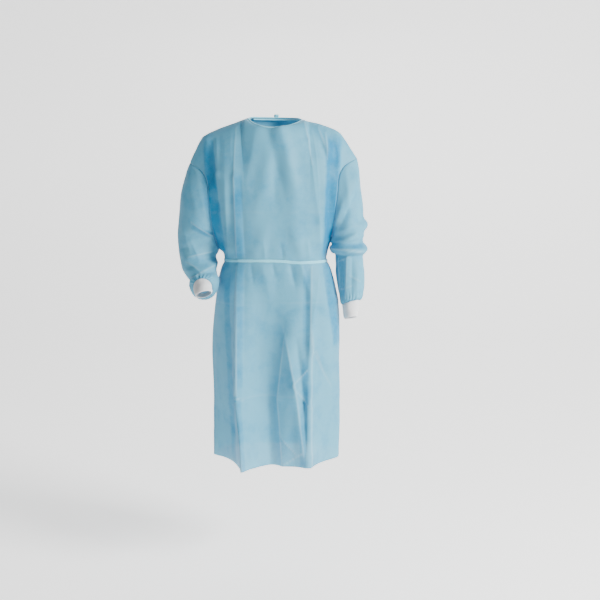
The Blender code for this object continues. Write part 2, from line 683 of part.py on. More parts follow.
def add_ties(walls, normals, look):
    """Knots and hanging ends at the nape and at the back of the waist."""
    tree = surface_of(walls, ("right",))
    middle = COLUMNS // 2
    grid, ways = walls["right"], normals["right"]
    waist = grid[BELT_ROWS[0]:BELT_ROWS[1] + 1, middle].mean(axis=0)
    down = unit(grid[-2, middle] - grid[-1, middle])
    nape = grid[-1, middle] + down * BINDING * NAPE
    nape_way = unit(ways[-1, middle] - down * np.dot(ways[-1, middle], down))
    for name, place, way, size, shape, lift in (
        ("belt", waist, ways[BELT_ROWS[0], middle], BELT_KNOT, BELT_END, 2 * GAP + STRIP),
        ("neck", nape, nape_way, NECK_KNOT, NECK_END, 3 * GAP + BAND),
    ):
        reach = np.linalg.norm(way * np.array(size))
        knot = place + way * (lift + reach)
        add_knot(f"{name}_knot", knot, size, look)
        for side, word in ((-1, "right"), (1, "left")):
            add_end(f"{name}_end_{word}", tree, knot, size, shape, side, look)


def main():
    clear_scene()
    cloth = material("gown_cloth", BLUE, 0.6)
    trim = material("folded_strip", BRIGHT, 0.55)
    knit = material("cuff_knit", WHITE, 0.85)
    walls, normals = body_walls()
    add_sleeve("right", walls, normals, RIGHT_SLEEVE, RIGHT_CUFF_END, cloth, knit)
    add_sleeve("left", walls, normals, LEFT_SLEEVE, LEFT_CUFF_END, cloth, knit)
    part_seams(walls)
    add_panels(walls, normals, cloth)
    add_binding(walls, normals, trim)
    add_belt(walls, normals, trim)
    add_ties(walls, normals, trim)


main()
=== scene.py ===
import math

import bpy
import numpy as np
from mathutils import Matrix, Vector, noise
from mathutils.bvhtree import BVHTree


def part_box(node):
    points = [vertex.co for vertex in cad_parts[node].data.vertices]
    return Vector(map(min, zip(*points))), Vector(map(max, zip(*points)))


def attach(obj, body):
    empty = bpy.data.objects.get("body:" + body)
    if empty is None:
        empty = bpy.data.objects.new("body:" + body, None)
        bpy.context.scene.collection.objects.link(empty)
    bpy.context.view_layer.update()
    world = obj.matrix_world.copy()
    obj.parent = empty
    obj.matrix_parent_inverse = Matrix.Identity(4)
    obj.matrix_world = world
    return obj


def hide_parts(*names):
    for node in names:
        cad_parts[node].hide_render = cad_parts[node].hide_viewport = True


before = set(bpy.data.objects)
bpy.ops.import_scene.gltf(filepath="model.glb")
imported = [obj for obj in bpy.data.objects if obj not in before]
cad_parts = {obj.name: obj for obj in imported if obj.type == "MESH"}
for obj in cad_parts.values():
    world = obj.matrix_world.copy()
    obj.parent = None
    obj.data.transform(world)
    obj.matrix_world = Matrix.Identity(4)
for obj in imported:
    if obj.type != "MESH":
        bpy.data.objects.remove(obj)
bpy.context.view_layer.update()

bpy.ops.object.select_all(action="DESELECT")

# ---- Front panel ----
# One piece of light blue spunbond polypropylene, cut from the shoulders to the hem. It was packed folded
# lengthways, so a sharp crease runs down each side of it, and it hangs from the shoulder seams and
# flares under the belt into a few broad folds.

COLUMNS = 224          # across the front
NECK = (70, 154)       # columns where the neck opening starts and ends
LAP = 28               # columns that each back runs past the centre
LAP_OUT = 0.0065       # the right back lies this far outside the left one
ROUND = 2.3            # squareness of a body section
SHOULDER_ROUND = 2.6
NECK_DROP, NECK_FRONT, NECK_BACK, NECK_RISE = 0.0300, 0.092, 0.078, 0.004
NECK_CURVE = 1.5       # below 2 the neckline leaves the shoulders steeply
NECK_SKEW = 0.1        # the front edge dips a little lower on the right half
INNER_RISE, OUTER_FALL = 1.6, 1.3  # how a crease's fold rises to it and falls behind it
HOLLOW_LEAN = 0.75     # below 1 the hollow beside a crease lies nearer to it
LEAN_END, LEAN_WIDTH = 0.8, 0.425  # where the columns round the neck stop leaning out
TOP_PULL = 1.5         # how late the columns turn to the places of the shoulder seam
CLOSE_OVER = 0.35      # share of the height over which the armhole opens
BELT_SAG, BELT_REACH = 0.0035, 0.04  # the belt's lean, and how far it pulls the rows along
BELT_Z = -0.4535
CLOTH = 0.0005         # thickness of the nonwoven with its loft
SHARPEST = 1.2         # folds this sharp or sharper get pale edges: crease whitening and a painted highlight
LINE_HALF_WIDTH = 0.0021          # half width of a pale line along a crease or a seam
FULL_LINE_HEIGHT = 0.004    # a crease this high gets its full pale line
PLY_END = 0.12         # share of a double band over which its ends fade
ROW_STEP = 0.0062      # height between two rows of the cloth's mesh

# z, right side x, right crease x, left crease x, left side x, front depth, back depth, how far the
# right and the left crease stand forward, how far the cloth beside each crease is hollow
SKIRT = np.array((
    (-1.11, -0.21, -0.101, 0.107, 0.206, 0.112, 0.15, 0.098, 0.043, 0.092, 0.035),
    (-0.96, -0.2085, -0.11, 0.109, 0.2095, 0.115, 0.15, 0.086, 0.038, 0.082, 0.028),
    (-0.88, -0.208, -0.12, 0.11, 0.207, 0.118, 0.149, 0.078, 0.03, 0.07, 0.02),
    (-0.74, -0.2105, -0.121, 0.112, 0.2055, 0.121, 0.145, 0.06, 0.022, 0.048, 0.012),
    (-0.65, -0.204, -0.12, 0.12, 0.205, 0.122, 0.14, 0.046, 0.018, 0.032, 0.006),
    (-0.57, -0.1935, -0.119, 0.131, 0.1985, 0.121, 0.132, 0.032, 0.015, 0.018, 0.0),
    (-0.5, -0.1805, -0.117, 0.138, 0.18, 0.117, 0.122, 0.016, 0.012, 0.006, 0.0),
    (-0.4515, -0.166, -0.1145, 0.1425, 0.163, 0.113, 0.113, 0.006, 0.01, 0.0, 0.0),
    (-0.4, -0.186, -0.119, 0.142, 0.179, 0.118, 0.118, 0.008, 0.01, 0.0, 0.0),
))
ROWS_BELOW = (
    -1.11, -1.045, -0.975, -0.905, -0.835, -0.765, -0.695, -0.63, -0.57, -0.52,
    -0.482, -0.4585, -0.4485, -0.433,
)
UNDERARM = (-0.418, -0.393)
# share of the height, right armhole x, right crease x, left crease x, left armhole x, front depth,
# back depth, armhole depth, how far the right and the left crease stand forward
CHEST = np.array((
    (0.0, -0.186, -0.119, 0.142, 0.179, 0.118, 0.118, 0.0, 0.008, 0.01),
    (0.2, -0.199, -0.12, 0.14, 0.187, 0.122, 0.122, 0.055, 0.008, 0.009),
    (0.45, -0.207, -0.1245, 0.137, 0.1935, 0.125, 0.128, 0.078, 0.008, 0.008),
    (0.6, -0.2106, -0.1265, 0.131, 0.1985, 0.125, 0.13, 0.084, 0.007, 0.007),
    (0.8, -0.2168, -0.1275, 0.117, 0.2045, 0.122, 0.128, 0.086, 0.006, 0.006),
    (0.9, -0.233, -0.126, 0.106, 0.218, 0.12, 0.124, 0.086, 0.004, 0.004),
    (1.0, -0.277, -0.1215, 0.0918, 0.261, 0.118, 0.12, 0.086, 0.0, 0.0),
))
ROWS_ABOVE = (0.0, 0.06, 0.16, 0.28, 0.40, 0.52, 0.64, 0.75, 0.84, 0.91, 0.96, 0.99, 1.0)
# share of the height, how far the columns lie outside the neck opening
SPREAD = np.array((
    (0.0, 0.0), (0.3, 0.0), (0.52, 0.003), (0.75, 0.01), (0.84, 0.013), (0.91, 0.015),
    (0.96, 0.0155), (0.99, 0.0105), (1.0, 0.0),
))
# the shoulder seams, neck point to sleeve: x, z
RIGHT_SHOULDER = (
    (-0.0855, -0.003), (-0.1215, -0.015), (-0.163, -0.029), (-0.211, -0.048), (-0.234, -0.061),
    (-0.244, -0.0765), (-0.2605, -0.108), (-0.277, -0.143),
)
LEFT_SHOULDER = (
    (0.084, -0.0075), (0.0918, -0.0105), (0.126, -0.017), (0.1645, -0.0295), (0.19, -0.039),
    (0.209, -0.052), (0.2255, -0.074), (0.2417, -0.099), (0.261, -0.128),
)

# Creases and folds: x and z of the two ends, height (hollow if negative), width on the -x or lower side
# and on the +x or upper side, sharpness (1 a sharp edge, 2 a soft roll), how much it fades at each end
FRONT_FOLDS = (
    # the broad folds of the hanging cloth
    (0.052, -0.64, 0.035, -1.105, 0.012, 0.03, 0.03, 2.0, 0.6, 0.2),
    (0.06, -0.65, 0.1, -1.1, 0.01, 0.028, 0.028, 2.0, 0.6, 0.2),
    (-0.04, -0.56, -0.06, -1.11, -0.008, 0.035, 0.035, 2.0, 0.6, 0.2),
    (0.105, -0.665, 0.145, -0.78, 0.008, 0.02, 0.02, 2.0, 0.6, 0.6),
    (0.06, -0.79, 0.105, -0.86, 0.006, 0.02, 0.02, 2.0, 0.6, 0.6),
    (0.15, -0.48, 0.18, -0.9, 0.01, 0.024, 0.024, 2.0, 0.6, 0.6),
    (-0.165, -0.48, -0.17, -1.08, 0.01, 0.026, 0.026, 2.0, 0.6, 0.6),
    (0.01, -0.03, -0.06, -0.33, 0.005, 0.024, 0.024, 2.0, 0.6, 0.6),
    (0.02, -0.03, 0.075, -0.36, 0.006, 0.026, 0.026, 2.0, 0.6, 0.6),
    (-0.15, -0.08, -0.17, -0.4, 0.006, 0.022, 0.022, 2.0, 0.6, 0.6),
    (0.17, -0.09, 0.166, -0.42, 0.007, 0.02, 0.02, 2.0, 0.6, 0.6),
    (-0.06, -0.435, -0.02, -0.33, 0.005, 0.02, 0.02, 2.0, 0.3, 0.8),
    (0.09, -0.44, 0.05, -0.33, 0.006, 0.02, 0.02, 2.0, 0.3, 0.8),
    # the packing crease on the wearer's right, with the tuck beside it
    (-0.1215, -0.03, -0.126, -0.19, 0.003, 0.006, 0.016, 1.1, 0.7, 0.0),
    (-0.126, -0.19, -0.119, -0.44, 0.0045, 0.005, 0.018, 1.1, 0.0, 0.2),
    (-0.119, -0.47, -0.12, -0.87, 0.0045, 0.006, 0.02, 1.1, 0.2, 0.0),
    (-0.12, -0.89, -0.101, -1.11, 0.004, 0.006, 0.02, 1.1, 0.0, 0.0),
    (-0.105, -0.19, -0.092, -0.44, -0.003, 0.008, 0.01, 1.5, 0.8, 0.3),
    (-0.094, -0.48, -0.096, -0.8, -0.003, 0.01, 0.012, 1.5, 0.3, 0.8),
    (-0.134, -0.872, -0.096, -0.886, -0.004, 0.007, 0.005, 1.2, 0.5, 0.6),
    # the packing crease on the left
    (0.092, -0.016, 0.105, -0.074, 0.003, 0.005, 0.007, 1.0, 0.2, 0.0),
    (0.105, -0.074, 0.118, -0.152, 0.003, 0.005, 0.008, 1.0, 0.0, 0.2),
    (0.118, -0.152, 0.14, -0.33, 0.0035, 0.012, 0.014, 1.3, 0.4, 0.2),
    (0.14, -0.33, 0.1425, -0.44, 0.004, 0.012, 0.016, 1.4, 0.2, 0.3),
    (0.116, -0.47, 0.1145, -0.74, 0.004, 0.008, 0.016, 1.2, 0.4, 0.0),
    (0.1145, -0.74, 0.11, -1.11, 0.0045, 0.008, 0.018, 1.2, 0.0, 0.0),
    (0.1, -0.49, 0.098, -0.76, -0.004, 0.012, 0.01, 1.6, 0.4, 0.8),
    # from the neck down over the chest
    (-0.019, -0.044, 0.04, -0.276, -0.006, 0.018, 0.018, 1.8, 0.2, 0.9),
    (0.022, -0.038, 0.081, -0.276, 0.0055, 0.016, 0.02, 1.8, 0.2, 0.9),
    (-0.002, -0.152, 0.006, -0.29, -0.0045, 0.014, 0.016, 1.8, 0.8, 0.9),
    (-0.055, -0.04, -0.085, -0.22, 0.0035, 0.016, 0.018, 1.8, 0.4, 0.9),
    # the shoulders
    (0.158, -0.051, 0.165, -0.135, 0.005, 0.007, 0.01, 1.2, 0.5, 0.8),
    (0.19, -0.057, 0.2, -0.151, 0.006, 0.009, 0.008, 1.3, 0.5, 0.4),
    (0.136, -0.035, 0.161, -0.104, 0.004, 0.006, 0.009, 1.2, 0.5, 0.8),
    (0.148, -0.085, 0.176, -0.165, -0.006, 0.01, 0.01, 1.6, 0.7, 0.6),
    (-0.215, -0.072, -0.22, -0.182, 0.005, 0.01, 0.012, 1.4, 0.5, 0.6),
    (-0.183, -0.074, -0.178, -0.182, 0.006, 0.01, 0.01, 1.4, 0.6, 0.1),
    (-0.178, -0.182, -0.166, -0.292, 0.006, 0.012, 0.012, 1.5, 0.1, 0.8),
    (-0.199, -0.085, -0.198, -0.195, -0.007, 0.011, 0.011, 1.7, 0.6, 0.5),
    # beside the sleeves
    (-0.19, -0.13, -0.162, -0.419, -0.01, 0.015, 0.016, 1.8, 0.7, 0.3),
    (-0.151, -0.198, -0.147, -0.44, 0.006, 0.012, 0.01, 1.4, 0.7, 0.3),
    (0.177, -0.15, 0.166, -0.435, -0.012, 0.014, 0.013, 1.7, 0.5, 0.3),
    (0.199, -0.08, 0.197, -0.35, 0.005, 0.008, 0.008, 1.3, 0.4, 0.6),
    (0.153, -0.2, 0.154, -0.44, 0.005, 0.01, 0.012, 1.6, 0.8, 0.3),
    # drawn in above and below the belt
    (0.05, -0.462, 0.068, -0.541, -0.005, 0.009, 0.01, 1.6, 0.1, 0.9),
    (0.081, -0.462, 0.119, -0.573, 0.006, 0.012, 0.014, 1.6, 0.2, 0.9),
    (-0.038, -0.462, -0.014, -0.573, 0.005, 0.016, 0.018, 1.8, 0.2, 0.9),
    (-0.075, -0.462, -0.066, -0.52, -0.0035, 0.008, 0.009, 1.5, 0.1, 0.9),
    (-0.005, -0.462, 0.004, -0.51, -0.003, 0.007, 0.008, 1.5, 0.1, 0.9),
    (0.11, -0.445, 0.103, -0.385, 0.0035, 0.007, 0.009, 1.5, 0.1, 0.9),
    (0.028, -0.445, 0.02, -0.395, -0.003, 0.008, 0.008, 1.5, 0.1, 0.9),
    (-0.028, -0.445, -0.034, -0.38, 0.0035, 0.009, 0.009, 1.5, 0.1, 0.9),
    (-0.142, -0.462, -0.15, -0.56, -0.006, 0.009, 0.009, 1.5, 0.1, 0.9),
    (0.163, -0.465, 0.189, -0.581, 0.005, 0.01, 0.012, 1.5, 0.3, 0.2),
    (0.189, -0.583, 0.196, -0.746, 0.0045, 0.01, 0.012, 1.5, 0.2, 0.9),
    (0.15, -0.47, 0.172, -0.62, -0.0045, 0.009, 0.01, 1.6, 0.2, 0.9),
    # the tent-shaped fold low in the middle
    (0.031, -0.697, 0.009, -0.89, 0.0048, 0.012, 0.028, 1.2, 0.6, 0.0),
    (0.009, -0.89, 0.027, -1.112, 0.0052, 0.012, 0.028, 1.2, 0.0, 0.2),
    (0.037, -0.697, 0.072, -0.858, 0.007, 0.026, 0.009, 1.2, 0.6, 0.0),
    (0.072, -0.858, 0.098, -1.07, 0.008, 0.026, 0.009, 1.2, 0.0, 0.5),
    (0.07, -0.7, 0.094, -0.9, -0.011, 0.014, 0.012, 1.6, 0.7, 0.0),
    (0.094, -0.9, 0.105, -1.06, -0.01, 0.012, 0.008, 1.5, 0.0, 0.5),
    (-0.02, -0.8, -0.012, -1.11, -0.006, 0.018, 0.014, 1.7, 0.8, 0.1),
    # small sharp creases
    (0.107, -0.793, 0.063, -0.842, 0.004, 0.006, 0.005, 1.0, 0.2, 0.2),
    (0.063, -0.842, 0.113, -0.922, 0.004, 0.006, 0.005, 1.0, 0.2, 0.2),
    (0.119, -0.737, 0.177, -0.859, -0.0035, 0.006, 0.006, 1.0, 0.2, 0.6),
    (0.124, -0.733, 0.15, -0.8, 0.003, 0.004, 0.007, 1.0, 0.3, 0.7),
    (0.027, -1.109, 0.094, -1.062, 0.0035, 0.007, 0.005, 1.0, 0.0, 0.4),
    (0.008, -0.997, 0.075, -1.072, 0.003, 0.006, 0.008, 1.0, 0.5, 0.4),
    (-0.085, -1.02, -0.06, -1.11, 0.0035, 0.008, 0.01, 1.3, 0.9, 0.0),
    # the shaded side by the right crease
    (-0.142, -0.64, -0.136, -1.09, -0.009, 0.014, 0.012, 1.7, 0.8, 0.2),
    (-0.185, -0.72, -0.19, -1.11, 0.005, 0.012, 0.012, 1.6, 0.8, 0.1),
    # faint creases across, where the folded gown was folded again
    (-0.205, -0.876, 0.205, -0.884, 0.001, 0.004, 0.004, 1.0, 0.0, 0.0),
    (-0.19, -0.588, 0.195, -0.58, -0.0007, 0.004, 0.004, 1.0, 0.0, 0.0),
    (-0.2, -0.3, 0.195, -0.296, 0.0006, 0.004, 0.004, 1.0, 0.0, 0.0),
)

# Where the cloth lies double, and bands of painted shade: x and z of the ends of each band, half width,
# amount
FRONT_PLIES_AND_SHADE = (
    (0.187, -0.07, 0.168, -0.448, 0.023, 0.95),
    (-0.211, -0.085, -0.176, -0.436, 0.018, 0.85),
    (-0.113, -0.185, -0.11, -0.447, 0.0135, 0.6),
    (-0.109, -0.46, -0.112, -0.868, 0.0135, 0.4),
    (-0.117, -0.88, -0.1, -1.115, 0.012, 0.35),
    # painted shade: these two bands darken a stripe beside the left crease, from the belt to the hem
    (0.103, -0.462, 0.1, -0.74, 0.012, 0.35),
    (0.099, -0.76, 0.094, -1.115, 0.01, 0.45),
    (0.163, -0.458, 0.194, -0.72, 0.014, 0.6),
    # painted shade: this band darkens the hollow beside the right crease, down to the hem
    (-0.15, -0.5, -0.136, -1.09, 0.009, 0.4),
)


def hermite(values, keys, at):
    """Smooth curves through rows of values."""
    slopes = np.gradient(values, keys, axis=0)
    k = np.clip(np.searchsorted(keys, at, side="right") - 1, 0, len(keys) - 2)
    step = keys[k + 1] - keys[k]
    t = (at - keys[k]) / step
    shape = (-1,) + (1,) * (values.ndim - 1)
    t, step = t.reshape(shape), step.reshape(shape)
    rise = t * t * (3 - 2 * t)
    bend = slopes[k] * t * (1 - t) ** 2 + slopes[k + 1] * t * t * (t - 1)
    return values[k] * (1 - rise) + values[k + 1] * rise + step * bend


def curve_through(table, key, column):
    """One column of a table, on a smooth curve through its rows."""
    key = np.clip(np.asarray(key, float), table[0, 0], table[-1, 0])
    return hermite(table[:, column], table[:, 0], key.reshape(-1)).reshape(key.shape)


def across(u, right, right_crease, left_crease, left):
    """x of a column: even between the creases, closer together towards the rounded sides."""
    inside = right_crease + (left_crease - right_crease) * (u + 0.5)
    ease = np.sin(np.clip(2 * np.abs(u) - 1, 0, 1) * math.pi / 2)
    outside = np.where(u < 0, right_crease + (right - right_crease) * ease,
                       left_crease + (left - left_crease) * ease)
    return np.where(np.abs(u) <= 0.5, inside, outside)


def crease_share(u):
    """How far each column takes part in a crease: 1 on it, 0 at the centre and the sides."""
    inner = np.clip(2 * np.abs(u), 0, 1) ** INNER_RISE
    outer = np.clip(2 - 2 * np.abs(u), 0, 1) ** OUTER_FALL
    return np.where(np.abs(u) <= 0.5, inner, outer)


def neck_angle(u):
    """Half a turn from the right neck point to the left one."""
    start, end = (2 * column / COLUMNS - 1 for column in NECK)
    return math.pi * np.clip((u - start) / (end - start), 0, 1)


def top_edge(u, back):
    """Shoulder seams and neckline: x, forward depth and z of each column's top."""
    start, end = (2 * column / COLUMNS - 1 for column in NECK)
    x, z = np.zeros_like(u), np.zeros_like(u)
    for points, neck, side in ((RIGHT_SHOULDER, start, -1), (LEFT_SHOULDER, end, 1)):
        line = np.array(points)
        run = np.concatenate([[0], np.cumsum(np.hypot(*np.diff(line, axis=0).T))])
        here = u * side
        near = (here - neck * side) / (0.5 - neck * side)
        far = (here - 0.5) / 0.5
        way = np.where(here < 0.5, near * run[1], run[1] + far * (run[-1] - run[1]))
        on = here >= neck * side - 1e-9
        x = np.where(on, np.interp(way, run, line[:, 0]), x)
        z = np.where(on, np.interp(way, run, line[:, 1]), z)
    angle = neck_angle(u)
    inside = (u > start + 1e-9) & (u < end - 1e-9)
    right, left = np.array(RIGHT_SHOULDER[0]), np.array(LEFT_SHOULDER[0])
    share = (1 - np.cos(angle)) / 2
    x = np.where(inside, right[0] + (left[0] - right[0]) * share, x)
    drop = NECK_RISE if back else -NECK_DROP * (1 + NECK_SKEW * np.cos(angle))
    dip = drop * np.sin(angle) ** NECK_CURVE
    z = np.where(inside, right[1] + (left[1] - right[1]) * share + dip, z)
    depth = np.where(inside, (NECK_BACK if back else NECK_FRONT) * np.sin(angle), 0.0)
    return x, depth, z


def section_depth(share, middle, edge, closing):
    """Depth across the body's width, from its edge to its middle."""
    cap = np.clip(1 - np.abs(share) ** ROUND, 0, 1) ** (1 / ROUND + closing * (1 - 1 / ROUND))
    return edge + (middle - edge) * cap


def below(u, z, back):
    """Points of the body under the arms."""
    right, right_crease, left_crease, left = (curve_through(SKIRT, z, c) for c in (1, 2, 3, 4))
    x = across(u, right, right_crease, left_crease, left)
    share = np.where(x < 0, x / right, x / left)
    depth = section_depth(share, curve_through(SKIRT, z, 6 if back else 5), 0.0, 0.0)
    if not back:
        crease = np.where(u < 0, curve_through(SKIRT, z, 7), curve_through(SKIRT, z, 8))
        hollow = np.where(u < 0, curve_through(SKIRT, z, 9), curve_through(SKIRT, z, 10))
        dent = np.sin(math.pi * np.clip(2 * np.abs(u) - 1, 0, 1) ** HOLLOW_LEAN)
        depth = depth + crease * crease_share(u) - hollow * dent
    return x, depth, z


def above(u, w, back):
    """Points of the body from underarm to shoulder, w of the way up."""
    right, right_crease, left_crease, left = (curve_through(CHEST, w, c) for c in (1, 2, 3, 4))
    top_x, top_depth, top_z = top_edge(u, back)
    low = UNDERARM[0] + (UNDERARM[1] - UNDERARM[0]) * (u + 1) / 2
    x = across(u, right, right_crease, left_crease, left)
    lean = -np.cos(neck_angle(u)) * np.clip((LEAN_END - np.abs(u)) / LEAN_WIDTH, 0, 1)
    x = x + (top_x - across(u, *CHEST[-1, 1:5])) * w ** TOP_PULL + lean * curve_through(SPREAD, w, 1)
    z = low + (top_z - low) * w
    share = np.where(x < 0, x / right, x / left)
    depth = section_depth(share, curve_through(CHEST, w, 6 if back else 5), curve_through(CHEST, w, 7),
                          np.clip(w / CLOSE_OVER, 0, 1))
    if not back:
        crease = np.where(u < 0, curve_through(CHEST, w, 8), curve_through(CHEST, w, 9))
        depth = depth + crease * crease_share(u)
    turn = np.clip(1 - w ** SHOULDER_ROUND, 0, 1) ** (1 / SHOULDER_ROUND)
    return x, top_depth + (depth - top_depth) * turn, z


def unit(vectors):
    return vectors / np.maximum(np.linalg.norm(vectors, axis=-1, keepdims=True), 1e-12)


def normals_of(grid, closed=False):
    up = np.gradient(grid, axis=0)
    side = np.roll(grid, -1, axis=1) - np.roll(grid, 1, axis=1) if closed else np.gradient(grid, axis=1)
    return unit(np.cross(side, up))


def row_keys(coarse):
    """The mean gaps between rows, and each row's place along them."""
    gaps = np.linalg.norm(np.diff(coarse, axis=0), axis=-1).mean(axis=1)
    return gaps, np.concatenate([[0], np.cumsum(gaps)])


def between(gaps, keys, step):
    """Places for finer rows, about a step apart, and the index of each old row among them."""
    counts = np.maximum(np.round(gaps / step), 1).astype(int)
    at = [keys[i] + gaps[i] * np.arange(n) / n for i, n in enumerate(counts)]
    return np.concatenate(at + [keys[-1:]]), np.concatenate([[0], np.cumsum(counts)])


def body_rows(back):
    """The body's surface without folds, at the solid's own levels."""
    u = np.linspace(-1, 1, COLUMNS + 1)
    rows = []
    for z in ROWS_BELOW:
        sag = BELT_SAG * np.cos(math.pi * u * 0.5 + 0.7) - 0.0025
        tilt = 0.5 * (UNDERARM[1] - UNDERARM[0]) * math.exp(-((z - UNDERARM[0]) / 0.02) ** 2)
        rows.append(below(u, z + math.exp(-((z - BELT_Z) / BELT_REACH) ** 2) * sag + tilt * 0.3 * u, back))
    for w in ROWS_ABOVE:
        rows.append(above(u, np.full_like(u, w), back))
    grid = np.array(rows).transpose(0, 2, 1)
    sign = 1 if back else -1
    return np.stack([grid[..., 0], sign * grid[..., 1], grid[..., 2]], -1)


def fold_height(folds, x, z):
    """The summed height of the creases and folds at each place."""
    total = np.zeros(x.shape)
    for x0, z0, x1, z1, height, width_low, width_high, sharp, fade_start, fade_end in folds:
        run = math.hypot(x1 - x0, z1 - z0)
        t = np.clip(((x - x0) * (x1 - x0) + (z - z0) * (z1 - z0)) / run ** 2, 0, 1)
        side = (z - z0) * (x1 - x0) - (x - x0) * (z1 - z0)
        away = np.hypot(x - x0 - t * (x1 - x0), z - z0 - t * (z1 - z0))
        away = away / np.where(side < 0, width_low, width_high)
        along = (1 - fade_start * (1 - t) ** 3) * (1 - fade_end * t ** 3)
        total += height * along * np.exp(-away ** sharp)
    return total


def ply_and_shade_share(bands, x, z):
    """How far each place lies in the bands, from 0 to 1: double layers, and on the front some bands of
    painted shade.
    """
    total = np.zeros(x.shape)
    for x0, z0, x1, z1, width, amount in bands:
        t = ((x - x0) * (x1 - x0) + (z - z0) * (z1 - z0)) / ((x1 - x0) ** 2 + (z1 - z0) ** 2)
        inside = np.clip(np.minimum(t, 1 - t) / PLY_END + 0.5, 0, 1)
        t = np.clip(t, 0, 1)
        away = np.hypot(x - x0 - t * (x1 - x0), z - z0 - t * (z1 - z0)) / width
        total = np.maximum(total, amount * inside * np.exp(-away ** 6))
    return total


def crease_whitening_and_highlight(folds, x, z):
    """How pale the cloth is along its sharpest creases, from 0 to 1: crease whitening and a painted
    highlight.
    """
    total = np.zeros(x.shape)
    for x0, z0, x1, z1, height, _, _, sharp, fade_start, fade_end in folds:
        if sharp <= SHARPEST:
            t = ((x - x0) * (x1 - x0) + (z - z0) * (z1 - z0)) / ((x1 - x0) ** 2 + (z1 - z0) ** 2)
            t = np.clip(t, 0, 1)
            away = np.hypot(x - x0 - t * (x1 - x0), z - z0 - t * (z1 - z0))
            along = (1 - fade_start * (1 - t) ** 3) * (1 - fade_end * t ** 3)
            share = min(abs(height) / FULL_LINE_HEIGHT, 1.0)
            total = np.maximum(total, share * along * np.exp(-(away / LINE_HALF_WIDTH) ** 2))
    return total


def from_edges(grid, edges):
    """How far each point lies from the nearest of the named edges, measured over the cloth."""
    rows = np.linalg.norm(np.diff(grid, axis=0), axis=-1)
    columns = np.linalg.norm(np.diff(grid, axis=1), axis=-1)
    up = np.concatenate([np.zeros((1, grid.shape[1])), np.cumsum(rows, axis=0)])
    over = np.concatenate([np.zeros((grid.shape[0], 1)), np.cumsum(columns, axis=1)], axis=1)
    ways = {"bottom": up, "top": up[-1] - up, "first": over, "last": over[:, -1:] - over}
    return np.min([ways[edge] for edge in edges], axis=0)


CRINKLE = 0.0015       # height of the crinkles
RIDGES = (9.0, 24.0, 60.0)  # how close together the broad, small and fine ones lie
RIDGE_SHARES = (1.6, 0.8, 0.35)
PATCHES = 5.0          # the small ones come in patches


def crinkle(grid, amount, shift):
    """Paper-like crinkles left from the pack: ridged noise of three sizes."""
    heights = np.empty(grid.shape[:2])
    for index in np.ndindex(*heights.shape):
        place = Vector(grid[index]) + Vector(shift)
        broad, small, fine = (share * (0.5 - abs(noise.noise(place * close)))
                              for close, share in zip(RIDGES, RIDGE_SHARES))
        much = 0.55 + 0.9 * noise.noise(place * PATCHES)
        heights[index] = amount * (broad + much * (small + fine))
    return heights


def link_mesh(name, points, faces, look):
    """A smooth mesh in the scene, in its material, and the only piece that is selected."""
    mesh = bpy.data.meshes.new(name)
    mesh.from_pydata(points, [], faces)
    piece = bpy.data.objects.new(name, mesh)
    bpy.context.scene.collection.objects.link(piece)
    mesh.materials.append(look)
    mesh.shade_smooth()
    bpy.ops.object.select_all(action="DESELECT")
    bpy.context.view_layer.objects.active = piece
    piece.select_set(True)
    return piece


def set_values(mesh, word, values):
    layer = mesh.attributes.new(word, "FLOAT", "POINT")
    layer.data.foreach_set("value", values.reshape(-1).astype(np.float32))


def corner_points(mesh):
    """The number of each face corner's point."""
    corner = np.empty(len(mesh.loops), int)
    mesh.loops.foreach_get("vertex_index", corner)
    return corner


def set_uv(mesh, along, over):
    uv = np.stack([along, over], -1)
    mesh.uv_layers.new(name="cloth").data.foreach_set("uv", uv.reshape(-1).astype(np.float32))


def add_cloth(name, grid, closed, flip, plies_and_shade, whitening_and_highlight, look, thickness):
    """A sheet of cloth through a grid of points, with its weave's UV map, its double places and bands of
    painted shade, and its pale lines of crease whitening and painted highlight.
    """
    rows, columns = grid.shape[:2]
    faces = []
    for i in range(rows - 1):
        for j in range(columns if closed else columns - 1):
            k = (j + 1) % columns
            quad = (i * columns + j, i * columns + k, (i + 1) * columns + k, (i + 1) * columns + j)
            faces.append(quad[::-1] if flip else quad)
    piece = link_mesh(name, grid.reshape(-1, 3).tolist(), faces, look)
    set_values(piece.data, "plies_and_shade", plies_and_shade)
    set_values(piece.data, "whitening_and_highlight", whitening_and_highlight)
    wide = np.linalg.norm(np.diff(grid, axis=1), axis=-1).mean()
    high = np.linalg.norm(np.diff(grid, axis=0), axis=-1).mean()
    corner = corner_points(piece.data)
    set_uv(piece.data, (corner % columns) * wide, (corner // columns) * high)
    shell = piece.modifiers.new("shell", "SOLIDIFY")
    shell.thickness, shell.offset = thickness, -1
    bpy.ops.object.modifier_apply(modifier="shell")
    return piece


def add_node(tree, kind, **values):
    """A shader node with its sockets set by their names."""
    made = tree.nodes.new(f"ShaderNode{kind}")
    for socket, value in values.items():
        made.inputs[socket.replace("_", " ")].default_value = value
    return made


def add_sum(tree, kind, first, second):
    """A math node of two values, each a socket or a number."""
    made = tree.nodes.new("ShaderNodeMath")
    made.operation = kind
    for socket, value in zip(made.inputs, (first, second)):
        if isinstance(value, float):
            socket.default_value = value
        else:
            tree.links.new(value, socket)
    return made.outputs["Value"]


def named_value(tree, word):
    made = tree.nodes.new("ShaderNodeAttribute")
    made.attribute_name = word
    return made.outputs["Fac"]


def colour_mix(tree, share, first, second):
    """A mix of two colours, the first one a socket or a colour."""
    made = tree.nodes.new("ShaderNodeMix")
    made.data_type = "RGBA"
    made.inputs["B"].default_value = (*second, 1.0)
    if isinstance(first, tuple):
        made.inputs["A"].default_value = (*first, 1.0)
    else:
        tree.links.new(first, made.inputs["A"])
    tree.links.new(share, made.inputs["Factor"])
    return made.outputs["Result"]


